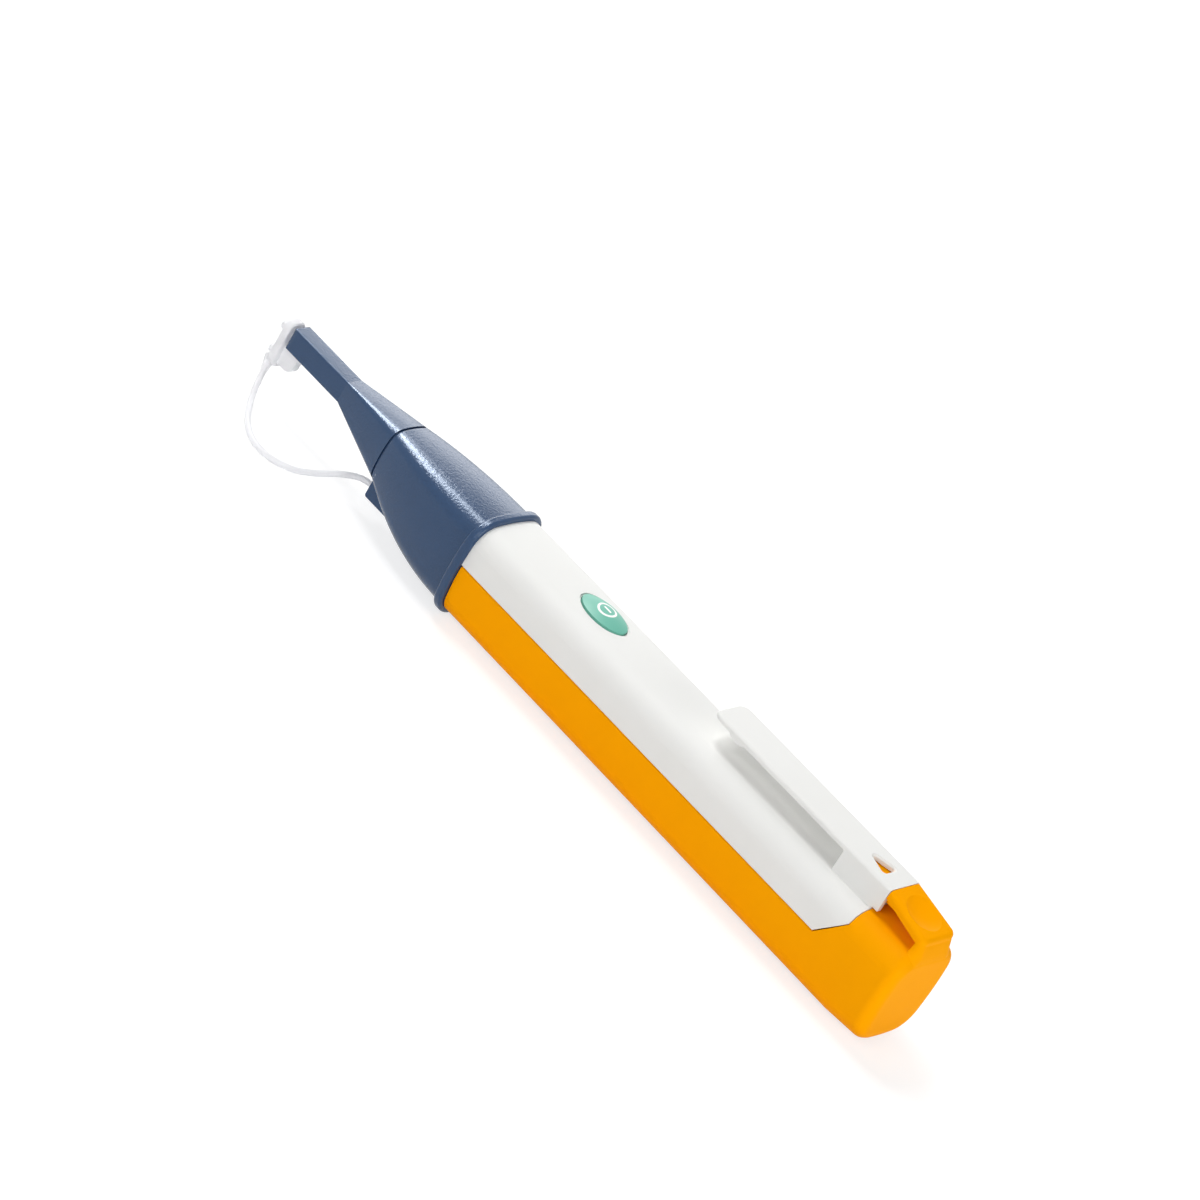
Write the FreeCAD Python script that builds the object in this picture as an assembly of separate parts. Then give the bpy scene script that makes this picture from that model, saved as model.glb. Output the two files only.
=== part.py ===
import FreeCAD, Part
import math
import os

from FreeCAD import Vector

# Live fiber detector pen, lying on its yellow underside. Millimetres, +X from the
# probe to the tail, +Z up, origin under the middle of the pen on the surface it lies on.

# Walls, gaps and fits
WALL = 1.8
CONE_WALL = 1.6
SEAM_GAP = 0.15
SEAM_EDGE = 0.2
FIT_GAP = 0.15
SLIDE_GAP = 0.12
COVER_CLEARANCE = 0.45
SCREW_GAP = 0.03

# Two small round cells in line, and the cradle that holds them
CELL_RADIUS = 5.25
CELL_LENGTH = 44.5
CELL_NUB_RADIUS = 1.9
CELL_NUB_LENGTH = 0.9
CELL_EDGE = 0.4
CELL_DEPTH = 3.9
CELL_CLEARANCE = 0.15
CRADLE_ROOF = 0.7
CRADLE_SHOULDER = 1.35
CRADLE_SETBACK = 3.1
CRADLE_END_WALL = 1.3
FINGER_CUT_LENGTH = 18.0
FINGER_CUT_HEIGHT = 2.4
CONTACT_THICK = 0.3
CONTACT_HALF_WIDTH = 3.6
CONTACT_TAB_HALF_WIDTH = 1.2
SPRING_GAP = 3.0

# Circuit board and the room over it
BOARD_THICK = 1.0
BOARD_HEADROOM = 3.4
BOARD_SIDE_GAP = 0.35
BOARD_NECK_HALF_WIDTH = 3.0
BOARD_NOSE_GAP = 4.4
BOARD_SHOULDER_SETBACK = 2.4
BOARD_CORNER = 1.0

# Barrel section: crowned sides and round corners
CROWN = 40.0
CORNER = 4.6
TAIL_FLARE = 0.3
TAIL_CORNER = 6.2
TAIL_TURN = 9.0

# Lengths along the pen, from the probe's face
BLADE_LENGTH = 15.8
TAPER_LENGTH = 15.8
CONE_LENGTH = 25.8
BEAD_LENGTH = 1.9
BEAD_PROUD = 1.0
BEAD_ROUND = 0.6
TAB_MARGIN = 1.8
ROOT_OVERHANG = 1.3
TONGUE_LENGTH = 11.6
END_WALL = 1.8
END_ROUND = 2.2

# Probe blade and the seam where its taper meets the nose cone
BLADE_HALF_WIDTH = 2.05
BLADE_HALF_HEIGHT = 2.35
BLADE_LEVEL = 2.82
BLADE_CROWN = 60.0
BLADE_CORNER = 0.35
BLADE_PLAN_ROUND = 1.3
BLADE_SIDE_ROUND = 0.9
SEAM_HALF_WIDTH = 5.44
SEAM_HALF_HEIGHT = 6.07
SEAM_LEVEL = 1.31
SEAM_CROWN = 20.0
SEAM_CORNER = 2.6
SEAM_GROOVE_WIDTH = 0.4
SEAM_GROOVE_DEPTH = 0.45
TIP_SPIGOT_LENGTH = 3.6
CONE_BULGE = 2.1
CONE_STEPS = 4
CONE_RIM = 0.3
COLLAR_WALL = 1.2
COLLAR_LENGTH = 4.0
LIP_LENGTH = 2.4

# Tether anchor under the nose cone
ANCHOR_HALF_WIDTH = 2.5
ANCHOR_LEAD = 0.7
ANCHOR_LENGTH = 9.0
ANCHOR_DROP = 8.8
ANCHOR_ROUND = 0.5

# Light path
GUIDE_RADIUS = 1.0
GUIDE_GAP = 0.05
SOCKET_DEPTH = 2.6
CAN_RADIUS = 2.35
CAN_LENGTH = 3.2
CAN_BASE_RADIUS = 2.7
CAN_BASE_LENGTH = 0.7
PIN_RADIUS = 0.23
PIN_SPREAD = 1.0
PIN_LAP = 1.6

# Seam rails of the battery cover
RAIL_THICK = 0.7
RAIL_HEIGHT = 1.6
RAIL_HOOK = 0.35
RAIL_HOOK_LOW = 0.87
RAIL_HOOK_HIGH = 1.43
RAIL_SETBACK = 1.5
TAB_SLANT = 4.8
TAB_SHOULDER = 5.75

# Pocket clip, window and latch
CLIP_HALF_WIDTH = 4.35
CLIP_LENGTH = 46.1
CLIP_THICK = 1.05
CLIP_RISE = 5.25
CLIP_END_CORNER = 2.0
CLIP_EDGE = 0.6
CLIP_RAMP = 4.2
CLIP_RAMP_RISE = 0.3
BEAD_UNDER_SETBACK = 6.6
BEAD_UNDER_HALF = 1.9
BEAD_UNDER_DEPTH = 0.7
ROOT_LENGTH = 11.3
ROOT_FILLET = 0.4
ROOT_LIFT = 0.35
WINDOW_SETBACK = 3.8
WINDOW_LENGTH = 5.4
WINDOW_HALF_WIDTH = 1.9
WINDOW_CORNER = 0.6
WINDOW_EDGE = 0.35
POCKET_HALF_WIDTH = 3.3
POCKET_FRONT_WALL = 1.5
TONGUE_DROP = 2.1
TONGUE_THICK = 1.7
TONGUE_EDGE = 0.9
TONGUE_BASE = 2.6
TONGUE_CREST = 0.9
TONGUE_CORNER = 1.4
TONGUE_FLARE = 0.55
LATCH_GAP = 0.2
LATCH_THICK = 1.8
LATCH_REACH = 7.8
LATCH_WEB = 2.0
DISH_LENGTH = 7.4
DISH_DEPTH = 0.95
DISH_RADIUS = 7.2
DISH_SETBACK = 1.7
# Sections of the tongue's flared foot: level over the barrel's top, how much wider it is than
# the clip on each side, and how far in it lies from the tail's end
TONGUE_FOOT = (
    (-2.2, 1.95, 0.06),
    (-1.1, 1.65, 0.1),
    (-0.45, 1.3, 0.2),
    (0.0, 1.0, 0.3),
    (0.7, 0.72, 0.47),
    (1.7, 0.46, 0.78),
    (2.5, 0.2, 1.1),
)
TONGUE_FOOT_FRONT = 0.6

# Power button and the switch under it
BUTTON_SETBACK = 24.75
BUTTON_HALF_LENGTH = 5.3
BUTTON_HALF_WIDTH = 3.4
BUTTON_PROUD = 1.15
BUTTON_DOME = 1.0
BUTTON_HOLE_EDGE = 0.3
BUTTON_RIM = 0.8
BUTTON_RIM_THICK = 0.7
BUTTON_RIM_GAP = 0.5
BUTTON_STEM_RADIUS = 1.2
SWITCH_SIZE = 5.2
SWITCH_HEIGHT = 1.5
PLUNGER_RADIUS = 1.0
PLUNGER_PROUD = 0.5
PLUNGER_DEPTH = 0.5
PLUNGER_WELL = 1.0

# Board parts, placed from the button along the pen
LED_OFFSET = 4.9
LED_LENGTH = 2.0
LED_WIDTH = 3.0
LED_HEIGHT = 1.1
BUZZER_OFFSET = 11.4
BUZZER_RADIUS = 4.4
BUZZER_HEIGHT = 2.4
BUZZER_HOLE_RADIUS = 0.7
CONTROLLER_OFFSET = -11.4
CONTROLLER_SIZE = 5.0
CONTROLLER_HEIGHT = 0.9
AMPLIFIER_OFFSET = -33.0
AMPLIFIER_LENGTH = 4.9
AMPLIFIER_WIDTH = 3.0
AMPLIFIER_HEIGHT = 1.4
AMPLIFIER_LEG_PITCH = 1.27
AMPLIFIER_LEG_REACH = 0.9
AMPLIFIER_LEG_WIDTH = 0.4
AMPLIFIER_LEG_THICK = 0.2
CHIP_LENGTH = 1.6
CHIP_WIDTH = 0.8
RESISTOR_HEIGHT = 0.45
CAPACITOR_HEIGHT = 0.8
CHIP_PITCH = 1.6
RESISTOR_OFFSET = -25.0
RESISTOR_COUNT = 5
CAPACITOR_OFFSET = -7.6
CAPACITOR_COUNT = 3

# Screws through the cradle's shoulders into the upper shell
SCREW_RADIUS = 0.8
SCREW_LENGTH = 4.6
SCREW_HEAD_RADIUS = 1.25
SCREW_HEAD_HEIGHT = 0.9
SCREW_SEAT = 1.1
SCREW_SPREAD = 4.95
SCREW_OFFSETS = (-17.5, 18.6)
REAR_SCREW_SETBACK = 9.2
BOSS_RADIUS = 1.55
BOARD_END_MARGIN = 2.6

# Clear tip cap and its tether
CAP_GAP = 0.3
CAP_PLATE_THICK = 1.6
CAP_PLATE_HALF_WIDTH = 2.3
CAP_PLATE_EDGE = 0.4
CAP_PLATE_TOP = 5.5
CAP_PLATE_BOTTOM = 4.9
CAP_PEG_RADIUS = 0.9
CAP_PEG_LENGTH = 2.2
CAP_PIP_RADIUS = 0.95
CAP_PIP_HEIGHT = 1.7
CAP_PIP_ROUND = 0.5
CAP_PIP_LEVELS = (2.9, -2.5)
CAP_LOBE_LENGTH = 4.6
CAP_LOBE_HALF_WIDTH = 0.8
CAP_LOBE_DROP = 3.7
CAP_LOBE_ROUND = 1.7
NECK_RADIUS = 1.15
TETHER_RADIUS = 0.6
# Route of the tether from the anchor to the cap: distance back from the probe's face,
# then across, then height over the surface that the pen lies on
TETHER_ROUTE = (
    (30.9, 0.0, 4.75),
    (27.9, 0.0, 4.75),
    (24.3, -2.1, 3.1),
    (21.7, -5.6, 1.3),
    (19.2, -9.4, 0.62),
    (15.2, -12.3, 0.62),
    (10.4, -12.1, 0.62),
    (6.2, -9.6, 0.62),
    (2.7, -6.5, 1.5),
    (0.0, -3.6, 3.7),
    (-1.4, -1.6, 5.7),
)

# Heights from the parting plane
CELL_LEVEL = -CELL_DEPTH
ROOF_TOP = CELL_LEVEL + CELL_RADIUS + CELL_CLEARANCE + CRADLE_ROOF
BOARD_BOTTOM = ROOF_TOP + CONTACT_THICK
BOARD_TOP = BOARD_BOTTOM + BOARD_THICK
TOP_RISE = BOARD_TOP + BOARD_HEADROOM + WALL
BOTTOM_DROP = CELL_DEPTH + CELL_RADIUS + COVER_CLEARANCE + WALL
PARTING = BOTTOM_DROP + BEAD_PROUD
CEILING = TOP_RISE - WALL
CLIP_TOP = TOP_RISE + CLIP_RISE
CLIP_UNDER = CLIP_TOP - CLIP_THICK

# Widths
BORE_RADIUS = CELL_RADIUS + CELL_CLEARANCE
CRADLE_HALF_WIDTH = BORE_RADIUS + CRADLE_SHOULDER
INNER_HALF_WIDTH = CRADLE_HALF_WIDTH + COVER_CLEARANCE
HALF_WIDTH = INNER_HALF_WIDTH + WALL
BOARD_HALF_WIDTH = INNER_HALF_WIDTH - BOARD_SIDE_GAP
RAIL_OUTER = INNER_HALF_WIDTH + RAIL_THICK

# Stations along the pen, from the probe's face
BLADE_END = BLADE_LENGTH
SEAM = BLADE_END + TAPER_LENGTH
ANCHOR = SEAM - ANCHOR_LEAD
BEAD = SEAM + CONE_LENGTH
BODY = BEAD + BEAD_LENGTH
CRADLE = BODY + CRADLE_SETBACK
SPRING = CRADLE + CRADLE_END_WALL
CELL_1 = SPRING + SPRING_GAP
CELL_2 = CELL_1 + CELL_LENGTH
CELLS_END = CELL_2 + CELL_LENGTH
CRADLE_END = CELLS_END + CONTACT_THICK + CRADLE_END_WALL
TAB_END = CRADLE_END + TAB_MARGIN
TAB_START = TAB_END - TAB_SLANT
ROOT_END = TAB_END + ROOT_OVERHANG
ROOT = ROOT_END - ROOT_LENGTH
CLIP_END = ROOT_END - CLIP_LENGTH
TAIL = ROOT_END + TONGUE_LENGTH
CAVITY_END = TAIL - END_WALL
BUTTON = BODY + BUTTON_SETBACK
BOARD_NOSE = SEAM + BOARD_NOSE_GAP
BOARD_SHOULDER = BODY + BOARD_SHOULDER_SETBACK
BOARD_END = BUTTON + SCREW_OFFSETS[1] + BOARD_END_MARGIN
CAN_BASE = SEAM - CAN_BASE_LENGTH
CAN_FACE = CAN_BASE - CAN_LENGTH
MIDDLE = TAIL / 2


def at(station, across, level):
    """A point given by its station from the probe's face and its height over the parting plane."""
    return Vector(station - MIDDLE, across, level + PARTING)


def box(stations, across, levels):
    """A box between two stations, two places across and two levels."""
    low = at(min(stations), min(across), min(levels))
    high = at(max(stations), max(across), max(levels))
    size = high - low
    return Part.makeBox(size.x, size.y, size.z, low)


def rod(radius, start, end):
    """A cylinder of a radius between two points."""
    axis = end - start
    return Part.makeCylinder(radius, axis.Length, start, axis)


def mirrored(point):
    """The point on the other side of the pen's middle plane."""
    return Vector(point.x, -point.y, point.z)


def arc_about(centre, start, end):
    """The shorter arc about a centre from one point to another."""
    middle = (start - centre) + (end - centre)
    middle.normalize()
    return Part.Arc(start, centre + middle * (start - centre).Length, end).toShape()


def side_profile(points, across):
    """A closed outline in the pen's side view, drawn out across the pen to both sides."""
    loop = [at(station, -across, level) for station, level in points + points[:1]]
    return Part.Face(Part.makePolygon(loop)).extrude(Vector(0, 2 * across, 0))


def oval(station, half_length, half_width, low, high):
    """An upright oval prism between two levels."""
    curve = Part.Ellipse(at(station, 0, low), half_length, half_width)
    return Part.Face(Part.Wire(curve.toShape())).extrude(Vector(0, 0, high - low))


def fuse_all(shapes):
    """One solid made of all the shapes."""
    return shapes[0].multiFuse(shapes[1:]).removeSplitter()


def edges_between(shape, test):
    """The edges of a shape whose box passes a test."""
    return [edge for edge in shape.Edges if test(edge.BoundBox)]


class Section:
    """A rounded section across the pen: four crowned sides joined by corner arcs."""

    def __init__(self, half_width, rise, drop, crown, corner, level=0.0):
        self.half_width = half_width
        self.rise = rise
        self.drop = drop
        self.crown = crown
        self.corner = corner
        self.level = level

    def toward(self, other, share):
        """The section that lies a share of the way from this one to another."""
        pairs = zip(vars(self).values(), vars(other).values())
        return Section(*(mine + (theirs - mine) * share for mine, theirs in pairs))

    def half(self, station, side, inset=0.0):
        """The edges of the upper (1) or lower (-1) half, each lying an inset inside the outline."""
        height = self.rise if side > 0 else self.drop
        crown_centre = at(station, 0, self.level + side * (height - self.crown))
        flank_centre = at(station, self.half_width - self.crown, self.level)
        across = Vector(0, self.crown - height, side * (self.crown - self.half_width))
        across.normalize()
        reach = self.crown - self.corner
        span = (crown_centre - flank_centre).Length / 2
        corner_centre = (crown_centre + flank_centre) / 2 + across * math.sqrt(reach**2 - span**2)
        share = (self.crown - inset) / reach
        equator = at(station, self.half_width - inset, self.level)
        on_flank = flank_centre + (corner_centre - flank_centre) * share
        on_crown = crown_centre + (corner_centre - crown_centre) * share
        points = [equator, on_flank, on_crown]
        points += [mirrored(point) for point in reversed(points)]
        centres = [flank_centre, corner_centre]
        centres += [crown_centre] + [mirrored(centre) for centre in reversed(centres)]
        if side < 0:
            points.reverse()
            centres.reverse()
        return [arc_about(*trio) for trio in zip(centres, points[:-1], points[1:])]

    def wire(self, station, inset=0.0):
        """The whole outline at a station."""
        return Part.Wire(self.half(station, 1, inset) + self.half(station, -1, inset))

    def half_wire(self, station, side, inset=0.0):
        """One half of the outline, closed along the equator."""
        edges = self.half(station, side, inset)
        start = at(station, side * (self.half_width - inset), self.level)
        return Part.Wire(edges + [Part.makeLine(mirrored(start), start)])

    def prism(self, start, end, inset=0.0):
        """The whole section drawn out between two stations."""
        return Part.Face(self.wire(start, inset)).extrude(Vector(end - start, 0, 0))

    def half_prism(self, start, end, side, inset=0.0):
        """Half of the section drawn out between two stations."""
        return Part.Face(self.half_wire(start, side, inset)).extrude(Vector(end - start, 0, 0))

    def half_ring(self, start, end, side, outer, inner):
        """Half of a band between two insets, drawn out between two stations."""
        band = self.half_prism(start, end, side, outer)
        return band.cut(self.half_prism(start, end, side, inner))


BARREL = Section(HALF_WIDTH, TOP_RISE, BOTTOM_DROP, CROWN, CORNER)
TAIL_SECTION = Section(HALF_WIDTH, TOP_RISE, BOTTOM_DROP + TAIL_FLARE, CROWN, CORNER)
END_SECTION = Section(HALF_WIDTH, TOP_RISE, BOTTOM_DROP, CROWN, TAIL_CORNER)
SEAM_SECTION = Section(
    SEAM_HALF_WIDTH, SEAM_HALF_HEIGHT, SEAM_HALF_HEIGHT, SEAM_CROWN, SEAM_CORNER, SEAM_LEVEL
)
BLADE_SECTION = Section(
    BLADE_HALF_WIDTH, BLADE_HALF_HEIGHT, BLADE_HALF_HEIGHT, BLADE_CROWN, BLADE_CORNER, BLADE_LEVEL
)


def white_zone(gap):
    """The side view of the upper shell with its slanted tail edge, grown by a gap."""
    over = CLIP_TOP + WALL
    points = [
        (BODY - WALL, -gap),
        (TAB_START + gap, -gap),
        (TAB_END + gap, TAB_SHOULDER),
        (TAB_END + gap, over),
        (BODY - WALL, over),
    ]
    return side_profile(points, HALF_WIDTH + BEAD_PROUD)


def screw_places():
    """The station and side of each chassis screw."""
    stations = [BUTTON + offset for offset in SCREW_OFFSETS] + [CRADLE_END - REAR_SCREW_SETBACK]
    return [(station, side) for station in stations for side in (1, -1)]


def screw_floor(station):
    """The level on which a screw's boss stands: the board, or the cradle's roof behind it."""
    return BOARD_TOP if station < BOARD_END else ROOF_TOP


def clip():
    """The pocket clip with its bead, its ramped free end and the root block with its window."""
    bump = CLIP_END + BEAD_UNDER_SETBACK
    foot = TOP_RISE - WALL / 2
    outline = [
        (CLIP_END, CLIP_TOP),
        (CLIP_END, CLIP_UNDER + CLIP_RAMP_RISE),
        (CLIP_END + CLIP_RAMP, CLIP_UNDER),
        (ROOT, CLIP_UNDER),
        (ROOT, foot),
        (TAB_END, foot),
        (TAB_END, TOP_RISE + ROOT_LIFT),
        (ROOT_END, TOP_RISE + ROOT_LIFT),
        (ROOT_END, CLIP_TOP),
    ]
    arm = side_profile(outline, CLIP_HALF_WIDTH)
    bump_radius = (BEAD_UNDER_HALF**2 + BEAD_UNDER_DEPTH**2) / (2 * BEAD_UNDER_DEPTH)
    bump_level = CLIP_UNDER - BEAD_UNDER_DEPTH + bump_radius
    near = at(bump, -CLIP_HALF_WIDTH, bump_level)
    round_bead = rod(bump_radius, near, mirrored(near))
    under = box(
        (bump - BEAD_UNDER_HALF, bump + BEAD_UNDER_HALF),
        (-CLIP_HALF_WIDTH, CLIP_HALF_WIDTH),
        (CLIP_UNDER - BEAD_UNDER_DEPTH, CLIP_TOP - CLIP_THICK / 2),
    )
    arm = fuse_all([arm, round_bead.common(under)])
    front = at(CLIP_END, 0, 0).x
    upright = edges_between(arm, lambda b: b.XMax < front + FIT_GAP and b.YLength < FIT_GAP)
    arm = arm.makeFillet(CLIP_END_CORNER, upright)
    inner_angle = at(ROOT, 0, CLIP_UNDER)
    angle = edges_between(
        arm, lambda b: abs(b.XMin - inner_angle.x) + abs(b.ZMin - inner_angle.z) + b.ZLength < FIT_GAP
    )
    arm = arm.makeFillet(ROOT_FILLET, angle)
    top = at(0, 0, CLIP_TOP).z
    rim = edges_between(arm, lambda b: b.ZMin > top - FIT_GAP and b.XMin < at(ROOT, 0, 0).x)
    arm = arm.makeFillet(CLIP_EDGE, rim)
    pocket = box(
        (ROOT + POCKET_FRONT_WALL, ROOT_END + WALL),
        (-POCKET_HALF_WIDTH, POCKET_HALF_WIDTH),
        (TOP_RISE + ROOT_LIFT, CLIP_UNDER),
    )
    arm = arm.cut(pocket).cut(clip_window())
    base = at(ROOT_END - WINDOW_SETBACK, WINDOW_HALF_WIDTH, CLIP_TOP)
    window_rim = edges_between(
        arm,
        lambda b: b.ZMin > top - FIT_GAP
        and max(-b.YMin, b.YMax) < base.y + FIT_GAP
        and b.XMax < base.x + FIT_GAP
        and b.XMin > base.x - WINDOW_LENGTH - FIT_GAP,
    )
    return arm.makeChamfer(WINDOW_EDGE, window_rim)


def clip_window():
    """The rounded three-cornered window over the latch."""
    base = ROOT_END - WINDOW_SETBACK
    corners = [(base - WINDOW_LENGTH, 0.0), (base, WINDOW_HALF_WIDTH), (base, -WINDOW_HALF_WIDTH)]
    loop = [at(station, across, CLIP_UNDER - FIT_GAP) for station, across in corners]
    prism = Part.Face(Part.makePolygon(loop + loop[:1])).extrude(Vector(0, 0, CLIP_THICK + WALL))
    upright = edges_between(prism, lambda b: b.ZLength > CLIP_THICK)
    return prism.makeFillet(WINDOW_CORNER, upright)


def on_seam(bounds):
    """Whether an edge of the upper skin lies on the outside of its seam with the cover."""
    outside = max(-bounds.YMin, bounds.YMax) > HALF_WIDTH - WALL / 2
    along = bounds.XLength > CELL_LENGTH and bounds.ZMax < at(0, 0, FIT_GAP).z
    slanted = bounds.XMin > at(TAB_START, 0, 0).x - FIT_GAP and bounds.ZLength > FIT_GAP
    return outside and (along or slanted)


def upper_shell():
    """The white upper half of the barrel, moulded with the pocket clip."""
    skin = BARREL.half_prism(BODY, ROOT_END, 1).common(white_zone(0.0))
    skin = skin.cut(BARREL.half_prism(BODY, ROOT_END, 1, WALL))
    skin = skin.makeFillet(SEAM_EDGE, edges_between(skin, on_seam))
    spigot_outer = CONE_WALL + FIT_GAP
    spigot_inner = spigot_outer + COLLAR_WALL
    spigot = BARREL.half_ring(BODY - COLLAR_LENGTH, BODY + WALL, 1, spigot_outer, spigot_inner)
    step = BARREL.half_ring(BODY, BODY + WALL, 1, WALL / 2, spigot_inner)
    bosses = []
    for station, side in screw_places():
        foot = at(station, side * SCREW_SPREAD, screw_floor(station))
        bosses.append(rod(BOSS_RADIUS, foot, at(station, side * SCREW_SPREAD, CEILING)))
    shell = fuse_all([skin, spigot, step, clip()] + bosses)
    for station, side in screw_places():
        low = at(station, side * SCREW_SPREAD, screw_floor(station) - FIT_GAP)
        high = at(station, side * SCREW_SPREAD, SCREW_SEAT + SCREW_LENGTH + FIT_GAP)
        shell = shell.cut(rod(SCREW_RADIUS + SCREW_GAP, low, high))
    for side in (1, -1):
        slot = (side * (INNER_HALF_WIDTH - WALL / 2), side * (RAIL_OUTER + SLIDE_GAP))
        groove = (side * INNER_HALF_WIDTH, side * (RAIL_OUTER + RAIL_HOOK + SLIDE_GAP))
        run = (BODY + RAIL_SETBACK - SLIDE_GAP, ROOT_END)
        shell = shell.cut(box(run, slot, (-WALL, RAIL_HEIGHT + SLIDE_GAP)))
        shell = shell.cut(box(run, groove, (RAIL_HOOK_LOW - SLIDE_GAP, RAIL_HOOK_HIGH + SLIDE_GAP)))
    hole = oval(
        BUTTON, BUTTON_HALF_LENGTH + FIT_GAP, BUTTON_HALF_WIDTH + FIT_GAP, BOARD_TOP + FIT_GAP, CLIP_TOP
    )
    sink = oval(
        BUTTON,
        BUTTON_HALF_LENGTH + FIT_GAP + BUTTON_HOLE_EDGE,
        BUTTON_HALF_WIDTH + FIT_GAP + BUTTON_HOLE_EDGE,
        TOP_RISE - BUTTON_HOLE_EDGE,
        CLIP_TOP,
    )
    return shell.cut(hole).cut(sink)


def thumb_dish(crest_start):
    """The barrel-shaped hollow for the thumb, a little behind the tongue's front edge."""
    middle = crest_start + DISH_SETBACK + DISH_LENGTH / 2
    slope = TONGUE_DROP / (TONGUE_LENGTH - TONGUE_CREST)
    level = CLIP_TOP - slope * (middle - crest_start)
    half = DISH_LENGTH / 2
    start = at(middle - half, 0, level + slope * half)
    end = at(middle + half, 0, level - slope * half)
    low = at(middle, 0, level - DISH_DEPTH)
    axis = at(middle, 0, level - DISH_DEPTH + DISH_RADIUS)
    along = end - start
    lift = Vector(-along.z, 0, along.x)
    lift.normalize()
    rise = lift * (axis - low).Length
    loop = [
        Part.Arc(start, low, end).toShape(),
        Part.makeLine(end, end + rise),
        Part.makeLine(end + rise, start + rise),
        Part.makeLine(start + rise, start),
    ]
    return Part.Face(Part.Wire(loop)).revolve(start + rise, along, 360)


def tongue_foot():
    """The flare that carries the base of the tongue, lofted from inside the tail's wall upwards."""
    start = TAIL - TONGUE_BASE
    wires = []
    for over, wider, inset in TONGUE_FOOT:
        level = TOP_RISE + over
        half = CLIP_HALF_WIDTH + wider
        rear = TAIL - inset
        turn = start + TONGUE_FOOT_FRONT
        corner = rear - turn
        sweep = math.sqrt(0.5)
        side = TONGUE_FOOT_FRONT - half
        near = [at(start, side, level), at(turn, -half, level), at(rear, corner - half, level)]
        far = [mirrored(point) for point in near]
        front = at(turn - TONGUE_FOOT_FRONT * sweep, TONGUE_FOOT_FRONT * (1 - sweep) - half, level)
        back = at(turn + corner * sweep, corner * (1 - sweep) - half, level)
        loop = [
            Part.Arc(near[0], front, near[1]).toShape(),
            Part.Arc(near[1], back, near[2]).toShape(),
            Part.makeLine(near[2], far[2]),
            Part.Arc(far[2], mirrored(back), far[1]).toShape(),
            Part.Arc(far[1], mirrored(front), far[0]).toShape(),
            Part.makeLine(far[0], near[0]),
        ]
        wires.append(Part.Wire(loop))
    return Part.makeLoft(wires, True, False)


def thumb_latch():
    """The sprung tongue behind the clip, with its gap, thumb dish and latch arm."""
    front = ROOT_END + SEAM_GAP
    crest = TAIL - TONGUE_CREST
    gap_end = TAIL - TONGUE_BASE
    slope = TONGUE_DROP / (crest - front)
    under_front = CLIP_TOP - TONGUE_THICK
    under_end = under_front - slope * (gap_end - front)
    foot = TOP_RISE - WALL / 2
    outline = [
        Part.makeLine(at(front, 0, under_front), at(front, 0, CLIP_TOP)),
        Part.makeLine(at(front, 0, CLIP_TOP), at(crest, 0, CLIP_TOP - TONGUE_DROP)),
        Part.makeLine(at(crest, 0, CLIP_TOP - TONGUE_DROP), at(TAIL - END_ROUND / 3, 0, foot)),
        Part.makeLine(at(TAIL - END_ROUND / 3, 0, foot), at(gap_end, 0, foot)),
        Part.makeLine(at(gap_end, 0, foot), at(gap_end, 0, TOP_RISE)),
        Part.Arc(
            at(gap_end, 0, TOP_RISE),
            at(gap_end + (under_end - TOP_RISE) / 2, 0, (under_end + TOP_RISE) / 2),
            at(gap_end, 0, under_end),
        ).toShape(),
        Part.makeLine(at(gap_end, 0, under_end), at(front, 0, under_front)),
    ]
    face = Part.Face(Part.Wire(outline))
    reach = CLIP_HALF_WIDTH + TONGUE_FLARE
    tongue = face.extrude(Vector(0, 2 * reach, 0))
    tongue.translate(Vector(0, -reach, 0))
    corners = [(front, CLIP_HALF_WIDTH), (TAIL, reach), (TAIL, -reach), (front, -CLIP_HALF_WIDTH)]
    loop = [at(station, across, 0) for station, across in corners + corners[:1]]
    tongue = tongue.common(Part.Face(Part.makePolygon(loop)).extrude(Vector(0, 0, CLIP_TOP + WALL)))
    back = at(gap_end, 0, 0).x + WALL / 2
    upright = edges_between(tongue, lambda b: b.XMin > back and b.ZLength > WALL and b.YLength < FIT_GAP)
    tongue = tongue.makeFillet(TONGUE_CORNER, upright)
    low = at(front, 0, CLIP_TOP - TONGUE_DROP)
    rim = edges_between(tongue, lambda b: b.ZMin > low.z - FIT_GAP and b.XMax > low.x + FIT_GAP)
    tongue = tongue.makeFillet(TONGUE_EDGE, rim)
    tongue = tongue.cut(thumb_dish(front))
    half = POCKET_HALF_WIDTH - LATCH_GAP
    top = CLIP_UNDER - LATCH_GAP
    web = box((front, front + LATCH_WEB), (-half, half), (top - LATCH_THICK, CLIP_TOP - TONGUE_THICK / 2))
    arm = box((ROOT_END - LATCH_REACH, front + LATCH_WEB), (-half, half), (top - LATCH_THICK, top))
    return fuse_all([tongue, web.cut(thumb_dish(front)), arm, tongue_foot()])


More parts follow.
